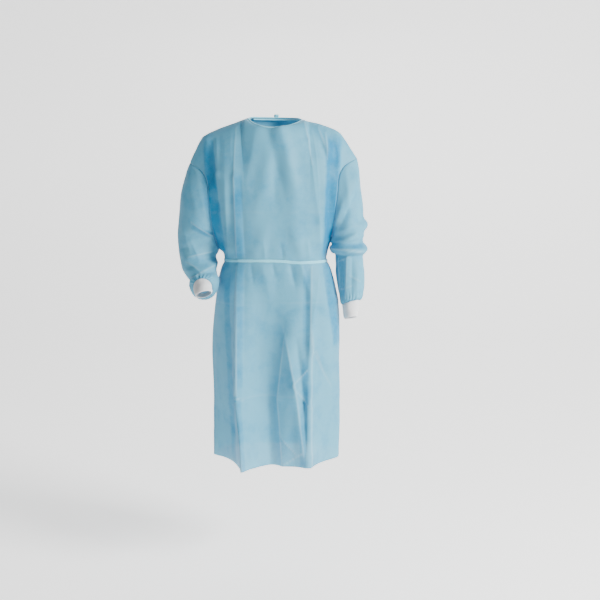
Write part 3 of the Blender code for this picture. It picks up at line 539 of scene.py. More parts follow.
# pale lines along creases and seams: crease whitening with a painted highlight, and a painted highlight along
# seams
PALE_LINE_COLOUR = (0.62, 0.90, 0.96)
PALE_LINE_STRENGTH = 0.38
LIGHT_THROUGH = 0.28   # share of the light that goes through the cloth


def nonwoven(name, thin, double_and_shade_colour, alpha):
    """Spunbond: cloudy fibres with bond points, denser in colour where it lies double and in bands of painted
    shade, pale lines of crease whitening and painted highlight, soft light through.
    """
    look = bpy.data.materials.new(name)
    look.use_nodes = True
    tree = look.node_tree
    links = tree.links
    shader = tree.nodes["Principled BSDF"]
    place = tree.nodes.new("ShaderNodeTexCoord")
    grain = tree.nodes.new("ShaderNodeUVMap")
    grain.uv_map = "cloth"
    clouds = add_node(tree, "TexNoise", Scale=17.0, Detail=6.0, Roughness=0.62)
    links.new(place.outputs["Object"], clouds.inputs["Vector"])
    fibre = add_node(tree, "TexNoise", Scale=620.0, Detail=3.0, Distortion=1.2)
    links.new(place.outputs["Object"], fibre.inputs["Vector"])
    bonds = add_node(tree, "TexVoronoi", Scale=420.0, Randomness=0.12)
    links.new(grain.outputs["UV"], bonds.inputs["Vector"])
    mottle = add_node(tree, "MapRange", From_Min=0.30, From_Max=0.70, To_Min=-0.26, To_Max=0.36)
    links.new(clouds.outputs["Fac"], mottle.inputs["Value"])
    speck = add_node(tree, "MapRange", From_Min=0.35, From_Max=0.65, To_Min=-0.10, To_Max=0.10)
    links.new(fibre.outputs["Fac"], speck.inputs["Value"])
    both = add_sum(tree, "ADD", mottle.outputs["Result"], speck.outputs["Result"])
    # the bands deepen the colour: double layers, and on the front some painted shade
    density_and_shade = add_sum(tree, "ADD", both, named_value(tree, "plies_and_shade"))
    density_and_shade.node.use_clamp = True
    shade = colour_mix(tree, density_and_shade, thin, double_and_shade_colour)
    # the pale lines are mixed in here: crease whitening and painted highlight
    line_strength = add_sum(tree, "MULTIPLY", named_value(tree, "whitening_and_highlight"), PALE_LINE_STRENGTH)
    colour_with_white_lines = colour_mix(tree, line_strength, shade, PALE_LINE_COLOUR)
    links.new(colour_with_white_lines, shader.inputs["Base Color"])
    relief = tree.nodes.new("ShaderNodeMath")
    relief.operation = "MULTIPLY_ADD"
    relief.inputs[1].default_value = 0.6
    links.new(bonds.outputs["Distance"], relief.inputs[0])
    links.new(fibre.outputs["Fac"], relief.inputs[2])
    bump = add_node(tree, "Bump", Strength=0.22, Distance=0.0004)
    links.new(relief.outputs["Value"], bump.inputs["Height"])
    links.new(bump.outputs["Normal"], shader.inputs["Normal"])
    shader.inputs["Roughness"].default_value = 0.56
    shader.inputs["Specular IOR Level"].default_value = 0.32
    shader.inputs["Sheen Weight"].default_value = 0.15
    shader.inputs["Sheen Roughness"].default_value = 0.4
    shader.inputs["Alpha"].default_value = alpha
    through = tree.nodes.new("ShaderNodeBsdfTranslucent")
    links.new(colour_with_white_lines, through.inputs["Color"])
    links.new(bump.outputs["Normal"], through.inputs["Normal"])
    soft = add_node(tree, "MixShader", Fac=LIGHT_THROUGH)
    links.new(shader.outputs["BSDF"], soft.inputs[1])
    links.new(through.outputs["BSDF"], soft.inputs[2])
    links.new(soft.outputs["Shader"], tree.nodes["Material Output"].inputs["Surface"])
    return look


cloth_look = nonwoven("gown_cloth_look", (0.180, 0.555, 0.725), (0.002, 0.300, 0.550), 0.74)

front_coarse, back_coarse = body_rows(False), body_rows(True)
row_gaps, row_places = row_keys(front_coarse)
fine_places, row_index = between(row_gaps, row_places, ROW_STEP)
underarm_row = row_index[len(ROWS_BELOW)]
front_base = hermite(front_coarse, row_places, fine_places)
back_base = hermite(back_coarse, row_places, fine_places)

SEAM_HUSH = 0.010      # folds fade out over this width towards a seam
BELT_HUSH = 0.012      # half height of the quiet cloth under the belt
GROOVE, GROOVE_WIDTH = 0.0004, 0.0035  # a seam's stitches draw the cloth in
SEAM_PLY = 0.004       # width of the turned-in cloth behind a seam


def seam_groove(base, seams):
    return GROOVE * np.exp(-from_edges(base, seams) / GROOVE_WIDTH)


def hush(base, seams):
    """Folds fade towards the sewn edges and under the belt."""
    seam = np.clip(from_edges(base, seams) / SEAM_HUSH, 0, 1)
    belt = 1 - 0.8 * np.exp(-((base[..., 2] - BELT_Z) / BELT_HUSH) ** 2)
    return seam * seam * (3 - 2 * seam) * belt


def dressed(base, out, folds, seams, amount, shift):
    """Base points moved out by the folds and crinkles, and drawn in a little along the seams."""
    quiet = hush(base, seams)
    height = fold_height(folds, base[..., 0], base[..., 2]) + crinkle(base, amount, shift)
    return base + out * (height * quiet - seam_groove(base, seams))[..., None]


def seam_plies(base, seams):
    """The turned-in edges lie double behind a seam."""
    return 0.22 * np.exp(-(from_edges(base, seams) / SEAM_PLY) ** 4)


def seam_highlight(base, seams):
    """A painted highlight: a light line along the sewn edge, where the real edge stands up a little and
    catches the light.
    """
    return 0.8 * np.exp(-(from_edges(base, seams) / LINE_HALF_WIDTH) ** 2)


front_out = normals_of(front_base)
front_grid = dressed(front_base, front_out, FRONT_FOLDS, ("first", "last", "top"), CRINKLE, (0.3, 1.7, 0.9))
# double places, and on the front some bands of painted shade
front_ply_and_shade = np.maximum(ply_and_shade_share(FRONT_PLIES_AND_SHADE, front_base[..., 0], front_base[..., 2]),
                       seam_plies(front_base, ("first", "last", "top")))
# pale lines: crease whitening with a painted highlight, and a painted highlight along the armhole seams
front_whitening_and_highlight = np.maximum(crease_whitening_and_highlight(FRONT_FOLDS, front_base[..., 0], front_base[..., 2]),
                        seam_highlight(front_base, ("first", "last")))
front_cloth = add_cloth("front_cloth", front_grid, False, False, front_ply_and_shade, front_whitening_and_highlight, cloth_look, CLOTH)
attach(front_cloth, "root")
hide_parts("front_panel")

# ---- Back panels ----
# Two panels of the same nonwoven, sewn to the front at the shoulders and sides. They are open down the
# middle, where the right one laps over the left one, and the neck ties and the belt hold them shut.

BACK_FOLDS = (
    (-0.15, -0.47, -0.168, -1.11, 0.012, 0.026, 0.026, 2.0, 0.6, 0.2),
    (-0.09, -0.47, -0.1, -1.11, 0.014, 0.026, 0.026, 2.0, 0.6, 0.2),
    (-0.03, -0.48, -0.028, -1.0, 0.006, 0.024, 0.024, 2.0, 0.6, 0.6),
    (0.085, -0.47, 0.1, -1.11, 0.014, 0.028, 0.028, 2.0, 0.6, 0.2),
    (0.145, -0.47, 0.165, -1.11, 0.011, 0.026, 0.026, 2.0, 0.6, 0.2),
    (-0.1, -0.43, -0.13, -0.15, 0.009, 0.022, 0.022, 2.0, 0.6, 0.6),
    (0.1, -0.43, 0.128, -0.16, 0.01, 0.022, 0.022, 2.0, 0.6, 0.6),
    (-0.15, -0.42, -0.17, -0.25, 0.006, 0.018, 0.018, 2.0, 0.6, 0.6),
    (0.15, -0.4, 0.168, -0.24, 0.006, 0.018, 0.018, 2.0, 0.6, 0.6),
    (-0.06, -0.06, -0.15, -0.2, 0.006, 0.024, 0.024, 2.0, 0.6, 0.6),
    (0.06, -0.06, 0.15, -0.2, 0.006, 0.024, 0.024, 2.0, 0.6, 0.6),
    # packing creases
    (-0.116, -0.02, -0.122, -0.44, 0.0035, 0.008, 0.014, 1.1, 0.6, 0.2),
    (-0.118, -0.47, -0.106, -1.11, 0.005, 0.008, 0.016, 1.1, 0.3, 0.0),
    (0.1, -0.02, 0.138, -0.44, 0.0035, 0.014, 0.008, 1.1, 0.6, 0.2),
    (0.136, -0.47, 0.112, -1.11, 0.005, 0.016, 0.008, 1.1, 0.3, 0.0),
    (-0.205, -0.88, 0.205, -0.872, 0.0014, 0.004, 0.004, 1.0, 0.0, 0.0),
    (-0.19, -0.584, 0.195, -0.592, -0.0012, 0.004, 0.004, 1.0, 0.0, 0.0),
    (-0.2, -0.304, 0.195, -0.298, 0.0012, 0.004, 0.004, 1.0, 0.0, 0.0),
    # hollows between the folds of the skirt
    (-0.126, -0.48, -0.138, -1.1, -0.008, 0.013, 0.014, 1.7, 0.6, 0.2),
    (-0.062, -0.48, -0.066, -1.1, -0.009, 0.016, 0.016, 1.7, 0.6, 0.2),
    (0.042, -0.48, 0.036, -1.1, -0.007, 0.018, 0.018, 1.8, 0.6, 0.2),
    (0.12, -0.48, 0.138, -1.1, -0.008, 0.012, 0.014, 1.7, 0.6, 0.2),
    # drawn in at the belt
    (-0.138, -0.462, -0.142, -0.54, -0.0055, 0.009, 0.009, 1.5, 0.1, 0.9),
    (-0.106, -0.462, -0.11, -0.53, 0.005, 0.008, 0.009, 1.5, 0.1, 0.9),
    (-0.05, -0.462, -0.054, -0.55, 0.005, 0.009, 0.009, 1.5, 0.1, 0.9),
    (-0.02, -0.462, -0.018, -0.52, -0.0045, 0.008, 0.008, 1.5, 0.1, 0.9),
    (0.03, -0.462, 0.034, -0.545, 0.005, 0.009, 0.009, 1.5, 0.1, 0.9),
    (0.066, -0.462, 0.07, -0.52, -0.0045, 0.008, 0.009, 1.5, 0.1, 0.9),
    (0.112, -0.462, 0.118, -0.55, 0.005, 0.009, 0.009, 1.5, 0.1, 0.9),
    (-0.12, -0.445, -0.116, -0.37, -0.005, 0.009, 0.009, 1.5, 0.1, 0.9),
    (-0.072, -0.445, -0.08, -0.35, 0.005, 0.009, 0.01, 1.5, 0.1, 0.9),
    (-0.034, -0.445, -0.03, -0.39, -0.004, 0.008, 0.008, 1.5, 0.1, 0.9),
    (0.02, -0.445, 0.014, -0.365, 0.0045, 0.009, 0.009, 1.5, 0.1, 0.9),
    (0.064, -0.445, 0.07, -0.38, -0.0045, 0.008, 0.009, 1.5, 0.1, 0.9),
    (0.13, -0.445, 0.126, -0.37, -0.005, 0.009, 0.009, 1.5, 0.1, 0.9),
    # across the top, drawn from the neck tie
    (-0.03, -0.04, -0.1, -0.17, 0.0045, 0.01, 0.014, 1.5, 0.2, 0.9),
    (-0.016, -0.06, -0.06, -0.22, -0.004, 0.01, 0.012, 1.6, 0.2, 0.9),
    (0.03, -0.04, 0.095, -0.18, 0.0045, 0.014, 0.01, 1.5, 0.2, 0.9),
    (0.014, -0.06, 0.048, -0.23, -0.004, 0.012, 0.01, 1.6, 0.2, 0.9),
    # beside the sleeves
    (-0.182, -0.13, -0.16, -0.41, -0.009, 0.014, 0.015, 1.8, 0.7, 0.3),
    (0.182, -0.13, 0.16, -0.4, -0.009, 0.015, 0.014, 1.8, 0.7, 0.3),
    # small sharp creases
    (-0.16, -0.7, -0.11, -0.76, 0.0035, 0.005, 0.006, 1.0, 0.3, 0.4),
    (0.075, -0.93, 0.13, -0.99, 0.0035, 0.006, 0.005, 1.0, 0.3, 0.4),
    (-0.06, -0.96, -0.02, -1.04, -0.003, 0.005, 0.006, 1.0, 0.3, 0.4),
    (0.1, -0.64, 0.15, -0.69, 0.003, 0.005, 0.006, 1.0, 0.3, 0.4),
)
BACK_PLIES = (
    (-0.182, -0.13, -0.162, -0.42, 0.014, 0.6),
    (0.182, -0.13, 0.162, -0.41, 0.014, 0.6),
    (-0.064, -0.5, -0.066, -1.09, 0.01, 0.25),
    (0.04, -0.5, 0.037, -1.09, 0.01, 0.25),
)

back_out = -normals_of(back_base)
back_all = dressed(back_base, back_out, BACK_FOLDS, ("first", "last", "top"), CRINKLE, (2.1, 0.4, 1.3))
# pale lines along the sharp creases: crease whitening with a painted highlight
back_whitening_and_highlight = crease_whitening_and_highlight(BACK_FOLDS, back_base[..., 0], back_base[..., 2])
back_ply = np.maximum(ply_and_shade_share(BACK_PLIES, back_base[..., 0], back_base[..., 2]),
                      seam_plies(back_base, ("first", "last", "top")))
centre_column = COLUMNS // 2
lap_ramp = np.clip((np.arange(COLUMNS + 1) - NECK[0]) / (centre_column - LAP - NECK[0]), 0, 1)
lap_ramp = lap_ramp * lap_ramp * (3 - 2 * lap_ramp)
back_over = back_all + back_out * (LAP_OUT * lap_ramp)[None, :, None]
LAP_HEM = 0.006        # width of the folded free edge

for side, over_or_under, columns in (("right", back_over, slice(0, centre_column + LAP + 1)),
                                     ("left", back_all, slice(centre_column - LAP, None))):
    grid = over_or_under[:, columns]
    free_edge = from_edges(grid, ("last",) if side == "right" else ("first",))
    lapped = np.where(free_edge < LAP_HEM, 0.5, 0.0)
    back_cloth = add_cloth(f"back_cloth_{side}", grid, False, True,
                           np.maximum(back_ply[:, columns], lapped), back_whitening_and_highlight[:, columns],
                           cloth_look, CLOTH)
    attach(back_cloth, "root")
    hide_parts(f"back_panel_{side}")

# ---- Sleeves ----
# Each sleeve is one tapered piece of the nonwoven sewn into a tube, set into a low armhole and gathered
# into its cuff. The right one is held bent and folds at its elbow; the left one is pushed up and
# bunches half-way down.

# outer edge x, z, inner edge x, z, middle y, half depth forward, how far its front is raised
RIGHT_SLEEVE = (
    (-0.291, -0.182, -0.1875, -0.4225, 0.0, 0.082, 0.0),
    (-0.3025, -0.222, -0.1885, -0.4265, 0.0, 0.081, 0.0),
    (-0.309, -0.262, -0.19, -0.43, 0.0, 0.079, 0.0),
    (-0.313, -0.3, -0.192, -0.434, 0.0, 0.076, -0.004),
    (-0.3165, -0.338, -0.1945, -0.438, -0.002, 0.072, -0.008),
    (-0.318, -0.372, -0.196, -0.4425, -0.006, 0.068, -0.01),
    (-0.317, -0.404, -0.1955, -0.449, -0.012, 0.065, -0.01),
    (-0.313, -0.434, -0.1915, -0.4575, -0.021, 0.062, -0.004),
    (-0.301, -0.48, -0.188, -0.4655, -0.036, 0.057, 0.004),
    (-0.2925, -0.4935, -0.1893, -0.481, -0.05, 0.053, 0.012),
    (-0.281, -0.507, -0.185, -0.498, -0.064, 0.048, 0.018),
    (-0.2705, -0.516, -0.1775, -0.511, -0.078, 0.042, 0.024),
    (-0.2715, -0.5245, -0.177, -0.52, -0.09, 0.035, 0.03),
    (-0.2705, -0.532, -0.179, -0.529, -0.1, 0.03, 0.036),
    (-0.2655, -0.5385, -0.184, -0.5355, -0.108, 0.024, 0.04),
    (-0.2545, -0.531, -0.1965, -0.528, -0.124, 0.02, 0.027),
)
LEFT_SLEEVE = (
    (0.269, -0.169, 0.1805, -0.396, 0.0, 0.082, 0.0),
    (0.272, -0.211, 0.183, -0.4005, 0.0, 0.081, 0.0),
    (0.277, -0.249, 0.1845, -0.404, 0.0, 0.079, 0.0),
    (0.2815, -0.291, 0.184, -0.408, 0.0, 0.076, 0.0),
    (0.283, -0.3165, 0.182, -0.412, 0.0, 0.074, 0.0),
    (0.295, -0.3425, 0.1805, -0.416, -0.002, 0.076, 0.0),
    (0.282, -0.37, 0.1795, -0.42, -0.002, 0.069, 0.0),
    (0.2795, -0.386, 0.179, -0.424, -0.003, 0.067, 0.0),
    (0.2875, -0.404, 0.18, -0.428, -0.004, 0.069, 0.0),
    (0.2935, -0.4205, 0.183, -0.432, -0.005, 0.071, 0.0),
    (0.2845, -0.4365, 0.19, -0.436, -0.006, 0.061, 0.0),
    (0.283, -0.4625, 0.195, -0.46, -0.01, 0.057, 0.002),
    (0.2865, -0.4985, 0.1955, -0.4955, -0.017, 0.054, 0.004),
    (0.287, -0.5345, 0.202, -0.535, -0.024, 0.051, 0.005),
    (0.2825, -0.561, 0.2085, -0.567, -0.03, 0.045, 0.006),
    (0.2765, -0.5775, 0.2125, -0.59, -0.034, 0.037, 0.007),
    (0.27, -0.583, 0.215, -0.5975, -0.035, 0.03, 0.007),
)
# The same columns as the front's folds, on the front and on the back half of each sleeve
RIGHT_FRONT_FOLDS = (
    (-0.265, -0.331, -0.202, -0.375, 0.0065, 0.008, 0.014, 1.2, 0.5, 0.2),
    (-0.288, -0.375, -0.198, -0.363, -0.0075, 0.009, 0.008, 1.5, 0.6, 0.2),
    (-0.27, -0.151, -0.223, -0.192, 0.004, 0.008, 0.01, 1.3, 0.5, 0.5),
    (-0.249, -0.167, -0.214, -0.34, 0.005, 0.01, 0.01, 1.4, 0.5, 0.6),
    (-0.285, -0.19, -0.262, -0.33, -0.005, 0.014, 0.016, 1.8, 0.7, 0.7),
    (-0.296, -0.349, -0.271, -0.42, 0.005, 0.008, 0.01, 1.3, 0.6, 0.6),
    (-0.277, -0.444, -0.206, -0.425, 0.0055, 0.007, 0.009, 1.2, 0.5, 0.3),
    (-0.269, -0.387, -0.239, -0.457, 0.004, 0.007, 0.008, 1.3, 0.5, 0.5),
    (-0.3, -0.415, -0.215, -0.4, -0.006, 0.008, 0.009, 1.5, 0.6, 0.4),
    (-0.256, -0.497, -0.189, -0.484, -0.005, 0.007, 0.007, 1.4, 0.4, 0.3),
    (-0.282, -0.456, -0.238, -0.482, 0.004, 0.006, 0.007, 1.2, 0.4, 0.6),
    (-0.262, -0.505, -0.195, -0.47, 0.0045, 0.006, 0.008, 1.2, 0.5, 0.4),
)
RIGHT_BACK_FOLDS = (
    (-0.3, -0.36, -0.215, -0.4, 0.006, 0.01, 0.012, 1.5, 0.6, 0.4),
    (-0.306, -0.4, -0.21, -0.425, 0.006, 0.009, 0.011, 1.4, 0.6, 0.4),
    (-0.3, -0.38, -0.22, -0.412, -0.005, 0.008, 0.008, 1.5, 0.6, 0.4),
    (-0.27, -0.18, -0.235, -0.34, 0.005, 0.012, 0.014, 1.7, 0.6, 0.7),
    (-0.296, -0.44, -0.215, -0.45, -0.005, 0.008, 0.009, 1.5, 0.5, 0.5),
    (-0.282, -0.47, -0.205, -0.49, 0.0045, 0.007, 0.008, 1.3, 0.5, 0.5),
)
LEFT_FRONT_FOLDS = (
    (0.178, -0.416, 0.283, -0.425, 0.008, 0.006, 0.016, 1.2, 0.1, 0.1),
    (0.188, -0.438, 0.278, -0.441, -0.006, 0.007, 0.008, 1.4, 0.3, 0.3),
    (0.185, -0.393, 0.286, -0.374, 0.006, 0.007, 0.009, 1.3, 0.5, 0.3),
    (0.19, -0.378, 0.286, -0.357, -0.006, 0.007, 0.008, 1.5, 0.6, 0.3),
    (0.191, -0.362, 0.289, -0.336, 0.0055, 0.008, 0.01, 1.3, 0.7, 0.3),
    (0.23, -0.405, 0.286, -0.396, -0.005, 0.006, 0.007, 1.4, 0.6, 0.3),
    (0.263, -0.235, 0.206, -0.342, -0.008, 0.014, 0.016, 1.8, 0.7, 0.2),
    (0.222, -0.25, 0.196, -0.33, 0.0055, 0.01, 0.012, 1.5, 0.7, 0.3),
    (0.221, -0.151, 0.238, -0.3, 0.005, 0.01, 0.012, 1.5, 0.6, 0.7),
    (0.204, -0.445, 0.211, -0.58, 0.0045, 0.007, 0.008, 1.2, 0.3, 0.4),
    (0.229, -0.445, 0.227, -0.572, 0.005, 0.007, 0.008, 1.2, 0.3, 0.4),
    (0.217, -0.45, 0.219, -0.575, -0.0045, 0.007, 0.007, 1.5, 0.3, 0.4),
    (0.265, -0.458, 0.258, -0.564, 0.0045, 0.009, 0.01, 1.5, 0.4, 0.4),
    (0.246, -0.45, 0.243, -0.56, -0.004, 0.008, 0.008, 1.5, 0.4, 0.5),
    (0.201, -0.458, 0.239, -0.44, 0.003, 0.004, 0.005, 1.0, 0.3, 0.4),
    (0.208, -0.548, 0.246, -0.532, 0.003, 0.004, 0.005, 1.0, 0.3, 0.4),
    (0.236, -0.5, 0.27, -0.52, 0.003, 0.004, 0.005, 1.0, 0.4, 0.4),
)
LEFT_BACK_FOLDS = (
    (0.178, -0.418, 0.283, -0.424, 0.008, 0.007, 0.014, 1.3, 0.2, 0.1),
    (0.186, -0.392, 0.286, -0.38, 0.006, 0.008, 0.009, 1.4, 0.5, 0.3),
    (0.188, -0.405, 0.284, -0.4, -0.006, 0.007, 0.008, 1.5, 0.5, 0.3),
    (0.192, -0.362, 0.289, -0.34, 0.0055, 0.008, 0.01, 1.4, 0.7, 0.3),
    (0.25, -0.19, 0.225, -0.33, 0.005, 0.012, 0.014, 1.7, 0.6, 0.7),
    (0.215, -0.45, 0.222, -0.57, 0.0045, 0.008, 0.009, 1.4, 0.4, 0.5),
    (0.255, -0.45, 0.25, -0.57, 0.0045, 0.008, 0.009, 1.4, 0.4, 0.5),
)
SLEEVE_PLIES = {
    "right": ((-0.262, -0.345, -0.205, -0.372, 0.01, 0.45), (-0.225, -0.2, -0.205, -0.33, 0.01, 0.35)),
    "left": ((0.186, -0.404, 0.28, -0.409, 0.01, 0.45), (0.208, -0.45, 0.216, -0.57, 0.01, 0.35)),
}
RING_STEP = 0.0042     # between two rings of the sleeve's mesh
PLEATS = 23            # gathered into each cuff
PLEAT_HEIGHT, PLEAT_LENGTH = 0.0022, 0.022


def ring(row, angles):
    """One ring of a sleeve, from its row of sizes."""
    outer = np.array([row[0], row[4], row[1]])
    inner = np.array([row[2], row[4], row[3]])
    depth = np.array([0.0, -row[5], row[6]])
    middle, half = (outer + inner) / 2, (outer - inner) / 2
    return middle + np.cos(angles)[:, None] * half + np.sin(angles)[:, None] * depth


def sleeve_surface(side, table):
    """The sleeve's rings, from the armhole's own points to the cuff, and the angle of each column."""
    column = 0 if side == "right" else -1
    front, back = front_base[underarm_row:, column], back_base[underarm_row:, column]
    half = np.arccos(2 * np.array(ROWS_ABOVE) - 1)
    keys = row_places[len(ROWS_BELOW):]
    half = hermite(half, keys, fine_places[underarm_row:])
    half[0], half[-1] = math.pi, 0.0
    angles = np.concatenate([half[::-1], 2 * math.pi - half[1:-1]])
    loop = np.concatenate([front[::-1], back[1:-1]])
    coarse = np.array([loop] + [ring(row, angles) for row in table])
    gaps, places = row_keys(coarse)
    at, _ = between(gaps, places, RING_STEP)
    return hermite(coarse, places, at), angles


def gathered(base, out, angles):
    """Small uneven pleats where the sleeve is drawn into its cuff."""
    away = from_edges(base, ("top",))
    strength = np.exp(-(away / PLEAT_LENGTH) ** 1.5) * np.clip(away / 0.004, 0, 1)
    wave = np.cos(PLEATS * angles + 1.4 * np.sin(3 * angles)) + 0.4 * np.cos(11 * angles + 1.0)
    return base + out * (PLEAT_HEIGHT * strength * wave)[..., None]


sleeve_ends = {}
for side, table, front_folds, back_folds, flat, area in (
    ("right", RIGHT_SLEEVE, RIGHT_FRONT_FOLDS, RIGHT_BACK_FOLDS, (0.54, 0.44), 0.150),
    ("left", LEFT_SLEEVE, LEFT_FRONT_FOLDS, LEFT_BACK_FOLDS, (0.54, 0.46), 0.160),
):
    base, angles = sleeve_surface(side, table)
    out = normals_of(base, closed=True) * (-1.0 if side == "right" else 1.0)
    forward = np.clip(0.5 - out[..., 1] * 1.6, 0, 1)
    seams = ("bottom", "top")
    quiet = np.clip(from_edges(base, seams) / SEAM_HUSH, 0, 1)
    x, z = base[..., 0], base[..., 2]
    height = fold_height(front_folds, x, z) * forward + fold_height(back_folds, x, z) * (1 - forward)
    height = height + crinkle(base, CRINKLE, (1.1, 2.3, 0.2 if side == "left" else 3.2))
    height = height * quiet - seam_groove(base, ("bottom",))
    grid = gathered(base + out * height[..., None], out, angles)
    ply = np.maximum(ply_and_shade_share(SLEEVE_PLIES[side], x, z) * forward, seam_plies(base, seams))
    # pale lines along the sharp creases: crease whitening with a painted highlight
    whitening_and_highlight = crease_whitening_and_highlight(front_folds, x, z) * forward + crease_whitening_and_highlight(back_folds, x, z) * (1 - forward)
    sleeve = add_cloth(f"sleeve_cloth_{side}", grid, True, side == "right", ply, whitening_and_highlight, cloth_look, CLOTH)
    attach(sleeve, "root")
    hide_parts(f"sleeve_{side}")
    sleeve_ends[side] = table[-1]

# ---- Cuffs ----
# Tubes of white ribbed polyester knit about 6 cm deep, sewn inside the gathered end of each sleeve.
# The ribs run lengthways, and the knit closes a little towards the hand.

CUFF_END = {
    "right": (-0.2445, -0.56, -0.1935, -0.545, -0.153, 0.024, 0.013),
    "left": (0.264, -0.636, 0.223, -0.643, -0.046, 0.025, 0.006),
}
CUFF_KNIT = 0.0010     # thickness of the knit
RIBS = 46
RIB_POINTS = 6         # mesh columns to a rib
RIB_HEIGHT = 0.00055
STITCH_STEP = 0.0022   # between two rings of the cuff's mesh
SAG, ROLL, TUCK = 0.0012, -0.0014, -0.0010  # slack of the tube, rolled rim, sewn edge


def knit_look():
    """Soft white rib knit: fine rows of stitches across the ribs."""
    look = bpy.data.materials.new("cuff_knit_look")
    look.use_nodes = True
    tree = look.node_tree
    links = tree.links
    shader = tree.nodes["Principled BSDF"]
    grain = tree.nodes.new("ShaderNodeUVMap")
    grain.uv_map = "cloth"
    stitch = add_node(tree, "TexVoronoi", Scale=900.0, Randomness=0.25)
    links.new(grain.outputs["UV"], stitch.inputs["Vector"])
    tone = colour_mix(tree, stitch.outputs["Distance"], (0.80, 0.81, 0.82), (0.66, 0.67, 0.69))
    links.new(tone, shader.inputs["Base Color"])
    bump = add_node(tree, "Bump", Strength=0.5, Distance=0.0005)
    bump.invert = True
    links.new(stitch.outputs["Distance"], bump.inputs["Height"])
    links.new(bump.outputs["Normal"], shader.inputs["Normal"])
    shader.inputs["Roughness"].default_value = 0.85
    shader.inputs["Specular IOR Level"].default_value = 0.2
    shader.inputs["Sheen Weight"].default_value = 0.3
    return look


cuff_look = knit_look()
for side, end in CUFF_END.items():
    angles = np.linspace(0, 2 * math.pi, RIBS * RIB_POINTS, endpoint=False)
    first, last = ring(sleeve_ends[side], angles), ring(end, angles)
    middle = (first + last) / 2
    middle = middle + (middle - middle.mean(axis=0)) * 0.03
    coarse = np.array([first, middle, last])
    gaps, places = row_keys(coarse)
    at, _ = between(gaps, places, STITCH_STEP)
    base = hermite(coarse, places, at)
    out = normals_of(base, closed=True) * (-1.0 if side == "right" else 1.0)
    share = np.linspace(0, 1, len(base))[:, None]
    rib = RIB_HEIGHT * np.cos(RIBS * angles)[None, :] * (0.35 + 0.65 * np.sin(math.pi * share) ** 0.5)
    sag = SAG * np.sin(3 * angles[None, :] + 5 * share) * np.sin(math.pi * share)
    roll = ROLL * np.exp(-((1 - share) / 0.05) ** 2)
    tuck = TUCK * np.exp(-(share / 0.06) ** 2)
    grid = base + out * (rib + sag + roll + tuck)[..., None]
    plain = np.zeros(grid.shape[:2])
    cuff = add_cloth(f"cuff_knit_{side}", grid, True, side == "right", plain, plain, cuff_look, CUFF_KNIT)
    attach(cuff, "root")
    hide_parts(f"cuff_{side}")

# ---- Neck binding ----
# A narrow strip of the same cloth, folded over the raw edge of the neck and sewn through, so that it
# lies in four layers and looks brighter and denser than the panels. It carries on round to both laps.

BINDING = 0.0065       # finished width
BAND = 0.0008          # thickness of one leg
NECK_CLEAR = 0.0009    # between the binding's legs and the cloth
CROWN = 0.0003         # how far the middle of a leg stands out


def panel_tree(grids):
    """The surfaces of some panels, to find places on."""
    points, faces = [], []
    for grid in grids:
        rows, columns = grid.shape[:2]
        shift = len(points)
        points += grid.reshape(-1, 3).tolist()
        for i in range(rows - 1):
            for j in range(columns - 1):
                a = shift + i * columns + j
                faces.append((a, a + 1, a + columns + 1, a + columns))
    return BVHTree.FromPolygons(points, faces)


def add_bar(name, stations, closed, look):
    """A strip through a row of section loops, with its UV map, no double layers and no painted shade."""
    count, size = len(stations), len(stations[0])
    faces = []
    for i in range(count if closed else count - 1):
        n = (i + 1) % count
        for j in range(size):
            k = (j + 1) % size
            faces.append((i * size + j, n * size + j, n * size + k, i * size + k))
    if not closed:
        faces.append(tuple(range(size)))
        faces.append(tuple((count - 1) * size + k for k in range(size))[::-1])
    piece = link_mesh(name, np.asarray(stations).reshape(-1, 3).tolist(), faces, look)
    bpy.ops.object.mode_set(mode="EDIT")
    bpy.ops.mesh.select_all(action="SELECT")
    bpy.ops.mesh.normals_make_consistent(inside=False)
    bpy.ops.object.mode_set(mode="OBJECT")
    set_values(piece.data, "plies_and_shade", np.zeros(count * size))
    step = np.linalg.norm(np.diff(np.asarray(stations)[:, 0], axis=0), axis=-1).mean()
    corner = corner_points(piece.data)
    set_uv(piece.data, (corner // size) * step, (corner % size) * 0.0015)
    return piece


strip_look = nonwoven("folded_strip_look", (0.300, 0.820, 0.960), (0.110, 0.620, 0.880), 1.0)

right_out, left_out = back_out[:, :centre_column + LAP + 1], back_out[:, centre_column - LAP:]
right_grid, left_grid = back_over[:, :centre_column + LAP + 1], back_all[:, centre_column - LAP:]
right_cols = np.arange(centre_column + LAP, NECK[0], -2)
front_cols = np.arange(NECK[0], NECK[1] + 1)
left_cols = np.arange(NECK[1] - centre_column + LAP - 2, -1, -2)
edge = np.concatenate([right_grid[-1, right_cols], front_grid[-1, front_cols], left_grid[-1, left_cols]])
edge_out = np.concatenate([right_out[-1, right_cols], front_out[-1, front_cols], left_out[-1, left_cols]])
cloth_tree = panel_tree((front_grid, right_grid, left_grid))
along = unit(np.gradient(edge, axis=0))
loops = []
for number, (place, up, way) in enumerate(zip(edge, edge_out, along)):
    up = unit(up - way * np.dot(up, way))
    down = np.cross(way, up)
    width = BINDING + 0.0003 * math.sin(number * 0.9)
    low, low_up, _, _ = cloth_tree.find_nearest(tuple(place + down * width))
    low, low_up = np.array(low), np.array(low_up)
    if np.dot(low_up, up) < 0:
        low_up = -low_up
    near, far = NECK_CLEAR, NECK_CLEAR + BAND
    inner = CLOTH + near
    bulge = up * 0.0002 * math.sin(number * 1.7)
    mid = (low + place) / 2
    loops.append([
        low + low_up * near, low + low_up * far, mid + up * (far + CROWN) + bulge,
        place + up * far - down * far * 0.6, place - up * CLOTH / 2 - down * far * 1.2,
        place - up * (CLOTH + far) - down * far * 0.6, mid - up * (CLOTH + far + CROWN),
        low - low_up * (CLOTH + far), low - low_up * inner, place - up * inner - down * near * 0.3,
        place + up * near - down * near * 0.3,
    ])
